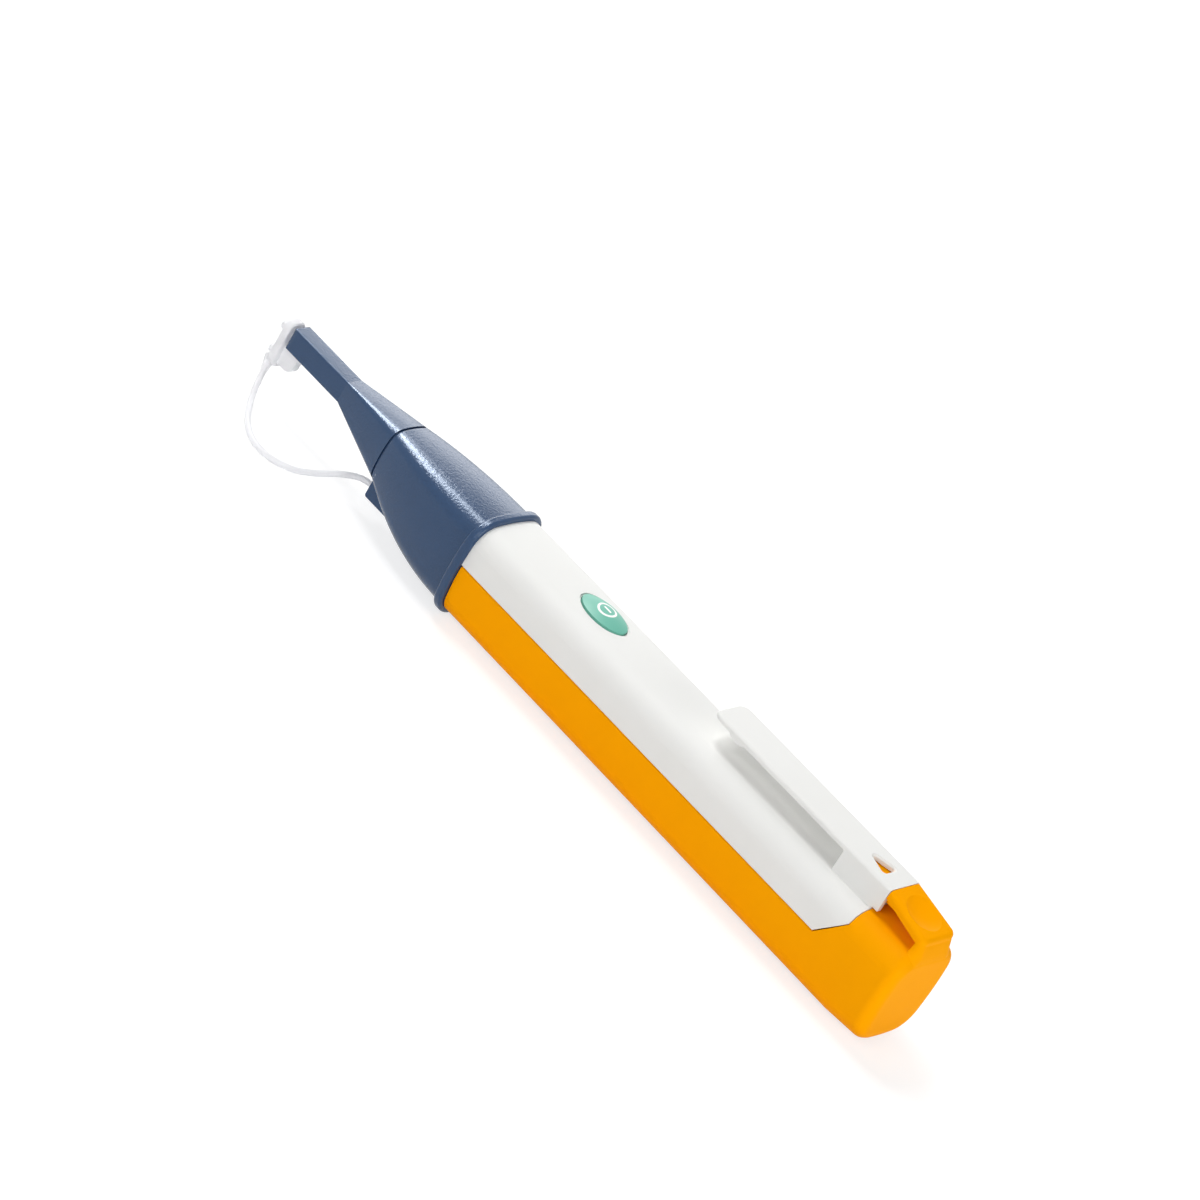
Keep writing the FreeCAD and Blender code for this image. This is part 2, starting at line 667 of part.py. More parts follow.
def lower_shell():
    """The yellow battery cover: the lower half of the barrel, the closed tail and the thumb latch."""
    front = BODY + SEAM_GAP
    turn = TAIL_SECTION.half_wire(TAIL - TAIL_TURN, -1)
    low = Part.makeLoft([BARREL.half_wire(front, -1), turn, END_SECTION.half_wire(TAIL, -1)], True, True)
    block = fuse_all([low, BARREL.half_prism(TAB_START, TAIL, 1)])
    end = at(TAIL, 0, 0).x
    end_loop = edges_between(block, lambda b: b.XMin > end - FIT_GAP)
    block = block.makeFillet(END_ROUND, end_loop)
    hollow_low = Part.makeLoft(
        [BARREL.half_wire(front - WALL, -1, WALL), TAIL_SECTION.half_wire(CAVITY_END, -1, WALL)], True, True
    )
    hollow = hollow_low.fuse(BARREL.half_prism(TAB_START - WALL, CAVITY_END, 1, WALL))
    shell = block.cut(hollow).cut(white_zone(SEAM_GAP))
    seam = at(0, HALF_WIDTH - FIT_GAP, -SEAM_GAP)
    seam_edges = edges_between(
        shell,
        lambda b: b.XLength > CELL_LENGTH
        and max(-b.YMin, b.YMax) > seam.y
        and abs(b.ZMax - seam.z) < FIT_GAP / 2,
    )
    shell = shell.makeChamfer(SEAM_EDGE, seam_edges)
    rails = []
    for side in (1, -1):
        web = (side * INNER_HALF_WIDTH, side * RAIL_OUTER)
        hook = (side * INNER_HALF_WIDTH, side * (RAIL_OUTER + RAIL_HOOK))
        run = (BODY + RAIL_SETBACK, TAB_START)
        rails.append(box(run, web, (-WALL, RAIL_HEIGHT)))
        rails.append(box(run, hook, (RAIL_HOOK_LOW, RAIL_HOOK_HIGH)))
    return fuse_all([shell, thumb_latch()] + rails)


def cone_wires(inset):
    """The nose cone's sections from the seam to the bead, swelling fast at first."""
    wires = []
    for step in range(CONE_STEPS + 1):
        along = step / CONE_STEPS
        share = 1 - (1 - along) ** CONE_BULGE
        section = SEAM_SECTION.toward(BARREL, share)
        wires.append(section.wire(SEAM + CONE_LENGTH * along, inset))
    return wires


def nose_cone():
    """The blue cone with the bead at its rear, the cover's lip and the tether anchor."""
    cone = Part.makeLoft(cone_wires(0.0), True, False)
    front = at(SEAM, 0, 0).x + FIT_GAP
    cone = cone.makeFillet(CONE_RIM, edges_between(cone, lambda b: b.XMax < front))
    bead = BARREL.prism(BEAD, BODY, -BEAD_PROUD)
    rims = edges_between(bead, lambda b: b.XLength < FIT_GAP)
    bead = bead.makeFillet(BEAD_ROUND, rims)
    anchor = box(
        (ANCHOR, ANCHOR + ANCHOR_LENGTH),
        (-ANCHOR_HALF_WIDTH, ANCHOR_HALF_WIDTH),
        (-ANCHOR_DROP, SEAM_LEVEL - SEAM_HALF_HEIGHT),
    )
    low_front = at(ANCHOR, 0, -ANCHOR_DROP)
    toe = edges_between(
        anchor, lambda b: b.XMax < low_front.x + FIT_GAP and b.ZMax < low_front.z + FIT_GAP
    )
    anchor = anchor.makeFillet(ANCHOR_ROUND, toe)
    hollow = Part.makeLoft(cone_wires(CONE_WALL), True, True)
    socket = BARREL.prism(BEAD, BODY, CONE_WALL)
    shell = fuse_all([cone, bead, anchor]).cut(hollow).cut(socket)
    lip_outer = WALL + FIT_GAP
    lip_inner = lip_outer + COLLAR_WALL
    lip = BARREL.half_ring(BEAD, BODY + LIP_LENGTH, -1, lip_outer, lip_inner)
    step = BARREL.half_ring(BEAD, BODY, -1, CONE_WALL / 2, lip_inner)
    return fuse_all([shell, lip, step])


def blade():
    """The blade with its front rounded both in plan and in side view."""
    span = (0.0, BLADE_END)
    across = (-BLADE_HALF_WIDTH, BLADE_HALF_WIDTH)
    levels = (BLADE_LEVEL - BLADE_HALF_HEIGHT, BLADE_LEVEL + BLADE_HALF_HEIGHT)
    front = at(0, 0, 0).x + FIT_GAP
    plan = box(span, across, levels)
    upright = edges_between(plan, lambda b: b.XMax < front and b.YLength < FIT_GAP)
    plan = plan.makeFillet(BLADE_PLAN_ROUND, upright)
    side = box(span, across, levels)
    level = edges_between(side, lambda b: b.XMax < front and b.ZLength < FIT_GAP)
    side = side.makeFillet(BLADE_SIDE_ROUND, level)
    return BLADE_SECTION.prism(*span).common(plan).common(side)


def probe_tip():
    """The blue blade and its taper, bored for the light guide and the detector."""
    taper = Part.makeLoft([BLADE_SECTION.wire(BLADE_END), SEAM_SECTION.wire(SEAM)], True, True)
    groove = SEAM_SECTION.prism(SEAM - SEAM_GROOVE_WIDTH, SEAM, -WALL)
    groove = groove.cut(SEAM_SECTION.prism(SEAM - SEAM_GROOVE_WIDTH, SEAM, SEAM_GROOVE_DEPTH))
    spigot = SEAM_SECTION.prism(SEAM, SEAM + TIP_SPIGOT_LENGTH, CONE_WALL + FIT_GAP)
    tip = fuse_all([blade(), taper.cut(groove), spigot])
    back = at(SEAM + TIP_SPIGOT_LENGTH, 0, BLADE_LEVEL)
    light = rod(GUIDE_RADIUS + GUIDE_GAP, at(-WALL, 0, BLADE_LEVEL), back)
    can = rod(CAN_RADIUS + GUIDE_GAP, at(CAN_FACE, 0, BLADE_LEVEL), back)
    base = rod(CAN_BASE_RADIUS + GUIDE_GAP, at(CAN_BASE, 0, BLADE_LEVEL), back)
    return tip.cut(light).cut(can).cut(base)


def light_guide():
    """The clear rod from the bottom of the blade's socket to the detector's window."""
    return rod(GUIDE_RADIUS, at(SOCKET_DEPTH, 0, BLADE_LEVEL), at(CAN_FACE, 0, BLADE_LEVEL))


def photodiode():
    """The detector can with its base and three pins that lap the board."""
    can = rod(CAN_RADIUS, at(CAN_FACE, 0, BLADE_LEVEL), at(CAN_BASE, 0, BLADE_LEVEL))
    base = rod(CAN_BASE_RADIUS, at(CAN_BASE, 0, BLADE_LEVEL), at(SEAM, 0, BLADE_LEVEL))
    over = BOARD_TOP + PIN_RADIUS
    under = BOARD_BOTTOM - PIN_RADIUS
    pins = []
    for across, level in ((PIN_SPREAD, over), (-PIN_SPREAD, over), (0.0, under)):
        pins.append(rod(PIN_RADIUS, at(SEAM, across, level), at(BOARD_NOSE + PIN_LAP, across, level)))
    return fuse_all([can, base] + pins)


def main_board():
    """The circuit board with its narrow neck in the nose and the screw holes."""
    wide = box(
        (BOARD_SHOULDER, BOARD_END),
        (-BOARD_HALF_WIDTH, BOARD_HALF_WIDTH),
        (BOARD_BOTTOM, BOARD_TOP),
    )
    wide = wide.makeFillet(BOARD_CORNER, edges_between(wide, lambda b: b.ZLength > BOARD_THICK / 2))
    neck = box(
        (BOARD_NOSE, BOARD_SHOULDER + WALL),
        (-BOARD_NECK_HALF_WIDTH, BOARD_NECK_HALF_WIDTH),
        (BOARD_BOTTOM, BOARD_TOP),
    )
    board = fuse_all([wide, neck])
    for station, side in screw_places():
        if station < BOARD_END:
            low = at(station, side * SCREW_SPREAD, ROOF_TOP)
            high = at(station, side * SCREW_SPREAD, CEILING)
            board = board.cut(rod(SCREW_RADIUS + FIT_GAP, low, high))
    return board


def on_board(offset, length, width, height, across=0.0):
    """A block standing on the board, placed from the button."""
    middle = BUTTON + offset
    return box(
        (middle - length / 2, middle + length / 2),
        (across - width / 2, across + width / 2),
        (BOARD_TOP, BOARD_TOP + height),
    )


def microcontroller():
    """The flat square controller chip with its chamfered edge."""
    chip = on_board(CONTROLLER_OFFSET, CONTROLLER_SIZE, CONTROLLER_SIZE, CONTROLLER_HEIGHT)
    top = at(0, 0, BOARD_TOP + CONTROLLER_HEIGHT).z
    return chip.makeChamfer(CONTROLLER_HEIGHT / 4, edges_between(chip, lambda b: b.ZMin > top - FIT_GAP))


def amplifier_chip():
    """The amplifier near the detector, on its rows of legs."""
    foot = AMPLIFIER_LEG_THICK
    body = on_board(AMPLIFIER_OFFSET, AMPLIFIER_LENGTH, AMPLIFIER_WIDTH, AMPLIFIER_HEIGHT)
    legs = []
    for row in (-1.5, -0.5, 0.5, 1.5):
        middle = AMPLIFIER_OFFSET + row * AMPLIFIER_LEG_PITCH
        reach = AMPLIFIER_WIDTH + 2 * AMPLIFIER_LEG_REACH
        legs.append(on_board(middle, AMPLIFIER_LEG_WIDTH, reach, foot))
    return fuse_all([body] + legs)


def chip_row(offset, count, height):
    """A row of like chips along the pen, each a solid of its own."""
    return Part.makeCompound(
        [on_board(offset + CHIP_PITCH * place, CHIP_WIDTH, CHIP_LENGTH, height) for place in range(count)]
    )


def indicator_led():
    """The signal lamp that lights the button, with its domed lens."""
    foot = on_board(LED_OFFSET, LED_LENGTH, LED_WIDTH, LED_HEIGHT / 2)
    lens = on_board(LED_OFFSET, LED_LENGTH * 0.8, LED_WIDTH * 0.8, LED_HEIGHT)
    top = at(0, 0, BOARD_TOP + LED_HEIGHT).z
    lens = lens.makeFillet(LED_HEIGHT / 4, edges_between(lens, lambda b: b.ZMin > top - FIT_GAP))
    return fuse_all([foot, lens])


def buzzer():
    """The round sounder with its port."""
    foot = at(BUTTON + BUZZER_OFFSET, 0, BOARD_TOP)
    top = at(BUTTON + BUZZER_OFFSET, 0, BOARD_TOP + BUZZER_HEIGHT)
    can = rod(BUZZER_RADIUS, foot, top)
    port = rod(BUZZER_HOLE_RADIUS, (foot + top) / 2, top)
    can = can.makeChamfer(BUZZER_HEIGHT / 6, edges_between(can, lambda b: b.ZMin > top.z - FIT_GAP))
    return can.cut(port)


def power_switch():
    """The low switch body with the well for its plunger."""
    body = on_board(0.0, SWITCH_SIZE, SWITCH_SIZE, SWITCH_HEIGHT)
    top = at(BUTTON, 0, BOARD_TOP + SWITCH_HEIGHT)
    return body.cut(rod(PLUNGER_RADIUS + SLIDE_GAP, top - Vector(0, 0, PLUNGER_WELL), top))


def switch_plunger():
    """The switch's moving plunger."""
    top = at(BUTTON, 0, BOARD_TOP + SWITCH_HEIGHT + PLUNGER_PROUD)
    return rod(PLUNGER_RADIUS, top - Vector(0, 0, PLUNGER_PROUD + PLUNGER_DEPTH), top)


def power_button():
    """The oval button with its hidden rim and the stem that presses the plunger."""
    rim_top = CEILING - BUTTON_RIM_GAP
    top = TOP_RISE + BUTTON_PROUD
    cap = oval(BUTTON, BUTTON_HALF_LENGTH, BUTTON_HALF_WIDTH, rim_top - BUTTON_RIM_THICK, top)
    low = at(BUTTON - BUTTON_HALF_LENGTH, 0, top - BUTTON_DOME)
    high = at(BUTTON + BUTTON_HALF_LENGTH, 0, top - BUTTON_DOME)
    swing = (BUTTON_HALF_WIDTH**2 + BUTTON_DOME**2) / (2 * BUTTON_DOME)
    drop = Vector(0, 0, BUTTON_DOME - swing)
    loop = [
        Part.Arc(low, at(BUTTON, 0, top), high).toShape(),
        Part.makeLine(high, high + drop),
        Part.makeLine(high + drop, low + drop),
        Part.makeLine(low + drop, low),
    ]
    barrel = Part.Face(Part.Wire(loop)).revolve(low + drop, Vector(1, 0, 0), 360)
    cap = cap.common(barrel)
    rim = oval(
        BUTTON,
        BUTTON_HALF_LENGTH + BUTTON_RIM,
        BUTTON_HALF_WIDTH + BUTTON_RIM,
        rim_top - BUTTON_RIM_THICK,
        rim_top,
    )
    touch = at(BUTTON, 0, BOARD_TOP + SWITCH_HEIGHT + PLUNGER_PROUD)
    stem = rod(BUTTON_STEM_RADIUS, touch, at(BUTTON, 0, rim_top))
    return fuse_all([cap, rim, stem])


def battery_cradle():
    """The tray over the cells: a half-round trough with end walls and screw shoulders."""
    span = (CRADLE, CRADLE_END)
    tray = box(span, (-CRADLE_HALF_WIDTH, CRADLE_HALF_WIDTH), (CELL_LEVEL, ROOF_TOP))
    ends = []
    for start in (CRADLE, CRADLE_END - CRADLE_END_WALL):
        wall = (start, start + CRADLE_END_WALL)
        ends.append(box(wall, (-CELL_RADIUS, CELL_RADIUS), (CELL_LEVEL - CELL_RADIUS * 0.9, ROOF_TOP)))
    hollow = rod(BORE_RADIUS, at(SPRING, 0, CELL_LEVEL), at(CELLS_END + CONTACT_THICK, 0, CELL_LEVEL))
    tray = tray.cut(hollow)
    pads = []
    for station, side in screw_places():
        if station < BOARD_END:
            low = at(station, side * SCREW_SPREAD, SCREW_SEAT)
            pads.append(rod(BOSS_RADIUS, low, at(station, side * SCREW_SPREAD, BOARD_BOTTOM)))
    tray = fuse_all([tray] + ends + pads)
    for station, side in screw_places():
        foot = at(station, side * SCREW_SPREAD, CELL_LEVEL - WALL)
        seat = at(station, side * SCREW_SPREAD, SCREW_SEAT)
        tray = tray.cut(rod(SCREW_HEAD_RADIUS + FIT_GAP, foot, seat))
        tray = tray.cut(rod(SCREW_RADIUS + FIT_GAP, seat, at(station, side * SCREW_SPREAD, CEILING)))
    for middle in (CELL_1 + CELL_LENGTH / 2, CELL_2 + CELL_LENGTH / 2):
        cut = (middle - FINGER_CUT_LENGTH / 2, middle + FINGER_CUT_LENGTH / 2)
        low = (CELL_LEVEL - WALL, CELL_LEVEL + FINGER_CUT_HEIGHT)
        tray = tray.cut(box(cut, (-HALF_WIDTH, HALF_WIDTH), low))
    tab = (-CONTACT_TAB_HALF_WIDTH - FIT_GAP, CONTACT_TAB_HALF_WIDTH + FIT_GAP)
    for start in (SPRING, CELLS_END):
        tray = tray.cut(box((start, start + CONTACT_THICK), tab, (CELL_LEVEL, BOARD_TOP)))
    return tray


def battery_spring():
    """The bowed front contact leaf with its tab up to the board."""
    low = CELL_LEVEL - CELL_RADIUS * 0.75
    high = CELL_LEVEL + CELL_RADIUS * 0.75
    plate = box(
        (SPRING, SPRING + CONTACT_THICK), (-CONTACT_HALF_WIDTH, CONTACT_HALF_WIDTH), (low, high)
    )
    tab = box(
        (SPRING, SPRING + CONTACT_THICK),
        (-CONTACT_TAB_HALF_WIDTH, CONTACT_TAB_HALF_WIDTH),
        (CELL_LEVEL, BOARD_BOTTOM),
    )
    half = CONTACT_HALF_WIDTH / 2
    outer = [at(SPRING, -half, low), at(CELL_1, -half, CELL_LEVEL), at(SPRING, -half, high)]
    inner = [
        at(SPRING, -half, high - 2 * CONTACT_THICK),
        at(CELL_1 - CONTACT_THICK, -half, CELL_LEVEL),
        at(SPRING, -half, low + 2 * CONTACT_THICK),
    ]
    loop = [
        Part.Arc(*outer).toShape(),
        Part.makeLine(outer[2], inner[0]),
        Part.Arc(*inner).toShape(),
        Part.makeLine(inner[2], outer[0]),
    ]
    leaf = Part.Face(Part.Wire(loop)).extrude(Vector(0, 2 * half, 0))
    return fuse_all([plate, tab, leaf])


def battery_strip():
    """The rear contact plate and the strip that runs forward on the cradle to the board."""
    level = CELL_LEVEL
    plate = box(
        (CELLS_END, CELLS_END + CONTACT_THICK),
        (-CONTACT_HALF_WIDTH, CONTACT_HALF_WIDTH),
        (level - CELL_RADIUS * 0.75, level + CELL_RADIUS * 0.75),
    )
    tab = (-CONTACT_TAB_HALF_WIDTH, CONTACT_TAB_HALF_WIDTH)
    rise = box((CELLS_END, CELLS_END + CONTACT_THICK), tab, (level, BOARD_BOTTOM))
    strip = box((BOARD_END - SWITCH_SIZE, CELLS_END + CONTACT_THICK), tab, (ROOF_TOP, BOARD_BOTTOM))
    return fuse_all([plate, rise, strip])


def cell(start):
    """A round cell with bevelled ends and its nub to the front."""
    shoulder = at(start + CELL_NUB_LENGTH, 0, CELL_LEVEL)
    can = rod(CELL_RADIUS, shoulder, at(start + CELL_LENGTH, 0, CELL_LEVEL))
    can = can.makeChamfer(CELL_EDGE, edges_between(can, lambda b: b.XLength < FIT_GAP))
    nub = rod(CELL_NUB_RADIUS, at(start, 0, CELL_LEVEL), at(start + CELL_NUB_LENGTH * 2, 0, CELL_LEVEL))
    return fuse_all([can, nub])


def chassis_screws():
    """The screws that hold the cradle and the board to the upper shell."""
    screws = []
    for station, side in screw_places():
        seat = at(station, side * SCREW_SPREAD, SCREW_SEAT)
        shank = rod(SCREW_RADIUS, seat, seat + Vector(0, 0, SCREW_LENGTH))
        head = rod(SCREW_HEAD_RADIUS, seat - Vector(0, 0, SCREW_HEAD_HEIGHT), seat)
        screws.append(fuse_all([shank, head]))
    return Part.makeCompound(screws)


def route_point(place):
    """A point of the tether's route."""
    station, across, height = place
    return Vector(station - MIDDLE, across, height)


def tip_cap():
    """The clear cap: a pull plate with two pips, a peg into the blade, a flap and the tether's neck."""
    plate_back = -CAP_GAP
    plate_front = plate_back - CAP_PLATE_THICK
    middle = (plate_front + plate_back) / 2
    plate = box(
        (plate_front, plate_back),
        (-CAP_PLATE_HALF_WIDTH, CAP_PLATE_HALF_WIDTH),
        (-CAP_PLATE_BOTTOM, CAP_PLATE_TOP),
    )
    long_edges = edges_between(plate, lambda b: b.XLength > CAP_PLATE_THICK / 2)
    plate = plate.makeFillet(CAP_PLATE_HALF_WIDTH - FIT_GAP, long_edges)
    rims = edges_between(plate, lambda b: b.XLength < FIT_GAP)
    plate = plate.makeFillet(CAP_PLATE_EDGE, rims)
    peg = rod(CAP_PEG_RADIUS, at(middle, 0, BLADE_LEVEL), at(CAP_PEG_LENGTH, 0, BLADE_LEVEL))
    pips = []
    for level in CAP_PIP_LEVELS:
        tip = at(plate_front - CAP_PIP_HEIGHT, 0, level)
        pip = rod(CAP_PIP_RADIUS, at(middle, 0, level), tip)
        pips.append(pip.makeFillet(CAP_PIP_ROUND, edges_between(pip, lambda b: b.XMax < tip.x + FIT_GAP)))
    flap = box(
        (middle, middle + CAP_LOBE_LENGTH),
        (-CAP_LOBE_HALF_WIDTH, CAP_LOBE_HALF_WIDTH),
        (-CAP_LOBE_DROP, BLADE_LEVEL - BLADE_HALF_HEIGHT - CAP_GAP),
    )
    end = at(middle + CAP_LOBE_LENGTH, 0, -CAP_LOBE_ROUND)
    lower = edges_between(flap, lambda b: b.XMin > end.x - FIT_GAP and b.ZMax < end.z)
    flap = flap.makeFillet(CAP_LOBE_ROUND, lower)
    start = route_point(TETHER_ROUTE[-1])
    axis = start - route_point(TETHER_ROUTE[-2])
    root = at(middle, 0, CAP_PLATE_HALF_WIDTH - CAP_PLATE_BOTTOM)
    reach = (root - start).dot(axis) / axis.Length
    neck = Part.makeCone(TETHER_RADIUS, NECK_RADIUS, reach, start, axis)
    return fuse_all([plate, peg, flap, neck] + pips)


def tether():
    """The strap as a tube of straight runs joined by arcs as large as the runs allow."""
    points = [route_point(place) for place in TETHER_ROUTE]
    edges = []
    start = points[0]
    for before, corner, after in zip(points[:-2], points[1:-1], points[2:]):
        back = before - corner
        ahead = after - corner
        half_turn = (math.pi - back.getAngle(ahead)) / 2
        reach = 0.45 * min(back.Length, ahead.Length)
        radius = reach / math.tan(half_turn)
        back.normalize()
        ahead.normalize()
        bisector = back + ahead
        bisector.normalize()
        inside = corner + bisector * (radius / math.cos(half_turn) - radius)
        arc = Part.Arc(corner + back * reach, inside, corner + ahead * reach).toShape()
        edges.append(Part.makeLine(start, corner + back * reach))
        edges.append(arc)
        start = corner + ahead * reach
        print("tether bend radius", round(radius, 2))
    edges.append(Part.makeLine(start, points[-1]))
    path = Part.Wire(edges)
    length = path.Length
    section = Part.Wire(Part.makeCircle(TETHER_RADIUS, points[0], points[1] - points[0]))
    tube = path.makePipeShell([section], True, True)
    ideal = math.pi * TETHER_RADIUS**2 * length
    print("tether length", round(length, 2), "volume share", round(tube.Volume / ideal, 4))
    return tube


PARTS = {
    "upper_shell": upper_shell,
    "lower_shell": lower_shell,
    "nose_cone": nose_cone,
    "probe_tip": probe_tip,
    "light_guide": light_guide,
    "photodiode": photodiode,
    "main_board": main_board,
    "microcontroller": microcontroller,
    "amplifier_chip": amplifier_chip,
    "chip_resistors": lambda: chip_row(RESISTOR_OFFSET, RESISTOR_COUNT, RESISTOR_HEIGHT),
    "chip_capacitors": lambda: chip_row(CAPACITOR_OFFSET, CAPACITOR_COUNT, CAPACITOR_HEIGHT),
    "indicator_led": indicator_led,
    "buzzer": buzzer,
    "power_switch": power_switch,
    "switch_plunger": switch_plunger,
    "power_button": power_button,
    "battery_cradle": battery_cradle,
    "battery_spring": battery_spring,
    "battery_strip": battery_strip,
    "cell_front": lambda: cell(CELL_1),
    "cell_rear": lambda: cell(CELL_2),
    "chassis_screws": chassis_screws,
    "tip_cap": tip_cap,
    "tether": tether,
}

os.makedirs("parts", exist_ok=True)
for name, make in PARTS.items():
    shape = make()
    shape.exportStep(os.path.join("parts", name + ".step"))
    print(name, "solids", len(shape.Solids), "volume", round(shape.Volume, 2), "valid", shape.isValid())
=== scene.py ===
"""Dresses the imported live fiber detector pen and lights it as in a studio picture."""

import logging
import math
from dataclasses import dataclass, field
from enum import Enum
from typing import Any

import bpy
from mathutils import Matrix, Vector


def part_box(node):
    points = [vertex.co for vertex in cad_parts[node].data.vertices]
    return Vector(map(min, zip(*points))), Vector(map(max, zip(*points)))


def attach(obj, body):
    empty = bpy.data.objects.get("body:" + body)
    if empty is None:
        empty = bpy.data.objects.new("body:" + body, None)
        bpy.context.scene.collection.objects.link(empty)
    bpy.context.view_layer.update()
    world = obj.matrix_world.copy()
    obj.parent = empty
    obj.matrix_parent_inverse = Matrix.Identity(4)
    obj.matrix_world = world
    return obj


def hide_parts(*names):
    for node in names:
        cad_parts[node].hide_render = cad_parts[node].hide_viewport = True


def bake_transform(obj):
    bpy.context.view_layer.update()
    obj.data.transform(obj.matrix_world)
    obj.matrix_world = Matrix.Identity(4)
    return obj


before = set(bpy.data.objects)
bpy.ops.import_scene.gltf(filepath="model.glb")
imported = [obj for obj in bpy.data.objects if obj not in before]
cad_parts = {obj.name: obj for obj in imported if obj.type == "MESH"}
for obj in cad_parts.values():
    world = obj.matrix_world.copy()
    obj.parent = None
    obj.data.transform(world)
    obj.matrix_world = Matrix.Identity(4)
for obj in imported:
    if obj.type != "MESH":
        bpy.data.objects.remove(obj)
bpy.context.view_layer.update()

LOG = logging.getLogger("fiber_detector")
MM = 0.001

PURE_WHITE = "#ffffff"
SMOOTH_ANGLE = math.radians(40)
# How many layers of detail a noise has, for a broad pattern and for a fine one.
BROAD_LAYERS, FINE_LAYERS = 3.0, 2.0
# The colour sockets of a Mix node, by number: its two inputs and its result.
MIX_FIRST, MIX_SECOND, MIX_RESULT = 6, 7, 2

Colour = tuple[float, float, float, float]
Point = tuple[float, float, float]
Tree = bpy.types.NodeTree
Node = bpy.types.Node
Socket = bpy.types.NodeSocket


class Body(Enum):
    """The bodies that new pieces ride on."""

    PEN = "pen"
    BUTTON = "button"
    CAP = "cap"


class Slot(Enum):
    """Material slots in the record for new pieces; this script does not use them."""

    BUTTON = "teal_button"
    CAP = "clear_cap"


def linear(hex_colour: str) -> Colour:
    """Turns an sRGB colour into linear values.

    Args:
        hex_colour: Six hex digits after a hash sign.

    Returns:
        Red, green, blue and alpha, each from 0 to 1.
    """
    parts = [int(hex_colour[place:place + 2], 16) / 255 for place in (1, 3, 5)]
    # The sRGB standard's own curve.
    red, green, blue = (c / 12.92 if c <= 0.04045 else ((c + 0.055) / 1.055) ** 2.4 for c in parts)
    return red, green, blue, 1.0


def per_metre(size_mm: float) -> float:
    """Gives the texture scale at which one feature is a size in millimetres."""
    return 1.0 / (size_mm * MM)


def add_node(
    tree: Tree,
    kind: str,
    settings: dict[Any, Any] | None = None,
    links: dict[Any, Socket] | None = None,
) -> Node:
    """Adds a node with its settings and links.

    Args:
        tree: The node tree that the node goes into.
        kind: The node's type name.
        settings: Values by name. A name in small letters is the node's own property, and any other
            name, or a number, is an input socket.
        links: The socket that feeds each input.

    Returns:
        The new node.
    """
    node = tree.nodes.new(kind)
    for key, value in (settings or {}).items():
        if isinstance(key, str) and key.islower():
            setattr(node, key, value)
        else:
            node.inputs[key].default_value = value
    for key, socket in (links or {}).items():
        tree.links.new(socket, node.inputs[key])
    return node


@dataclass(frozen=True)
class Finish:
    """A finish, named for its material and for how its surface was made."""

    name: str
    colour: str
    roughness: float
    ior: float = 1.5
    specular: float = 0.5
    gloss_tint: str = PURE_WHITE

    def build(self) -> bpy.types.Material:
        """Makes the material with its shader and its detail.

        Returns:
            The new material.
        """
        material = bpy.data.materials.new(self.name)
        material.use_nodes = True
        tree = material.node_tree
        tree.nodes.clear()
        shader = add_node(
            tree,
            "ShaderNodeBsdfPrincipled",
            {
                "Base Color": linear(self.colour),
                "Roughness": self.roughness,
                "IOR": self.ior,
                "Specular IOR Level": self.specular,
                "Specular Tint": linear(self.gloss_tint),
            },
        )
        add_node(tree, "ShaderNodeOutputMaterial", links={"Surface": shader.outputs["BSDF"]})
        place = add_node(tree, "ShaderNodeTexCoord").outputs["Object"]
        self.detail(tree, shader, place)
        return material

    def detail(self, tree: Tree, shader: Node, place: Socket) -> None:
        """Adds what sets this finish apart; a plain finish has nothing to add.

        Args:
            tree: The material's node tree.
            shader: The shader that the detail feeds.
            place: The object coordinates.
        """


@dataclass(frozen=True)
class MouldedPlastic(Finish):
    """A moulded plastic: a slow drift of shade and the fine grain of the mould's face."""

    shade: str = "#808080"
    drift_mm: float = 16.0
    grain_mm: float = 0.45
    grain_depth_mm: float = 0.004
    gloss_change: float = 0.05

    def detail(self, tree: Tree, shader: Node, place: Socket) -> None:
        """Adds the drift of shade, the change of gloss and the grain.

        Args:
            tree: The material's node tree.
            shader: The shader that the detail feeds.
            place: The object coordinates.
        """
        drift = add_node(
            tree,
            "ShaderNodeTexNoise",
            {"Scale": per_metre(self.drift_mm), "Detail": BROAD_LAYERS},
            {"Vector": place},
        )
        tint = add_node(
            tree,
            "ShaderNodeMix",
            {"data_type": "RGBA", MIX_FIRST: linear(self.colour), MIX_SECOND: linear(self.shade)},
            {0: drift.outputs["Fac"]},
        )
        tree.links.new(tint.outputs[MIX_RESULT], shader.inputs["Base Color"])
        grain = add_node(
            tree,
            "ShaderNodeTexNoise",
            {"Scale": per_metre(self.grain_mm), "Detail": FINE_LAYERS},
            {"Vector": place},
        )
        gloss = add_node(
            tree,
            "ShaderNodeMapRange",
            {
                "To Min": self.roughness - self.gloss_change,
                "To Max": self.roughness + self.gloss_change,
            },
            {"Value": grain.outputs["Fac"]},
        )
        tree.links.new(gloss.outputs["Result"], shader.inputs["Roughness"])
        bump = add_node(
            tree,
            "ShaderNodeBump",
            {"Strength": 1.0, "Distance": self.grain_depth_mm * MM},
            {"Height": grain.outputs["Fac"]},
        )
        tree.links.new(bump.outputs["Normal"], shader.inputs["Normal"])


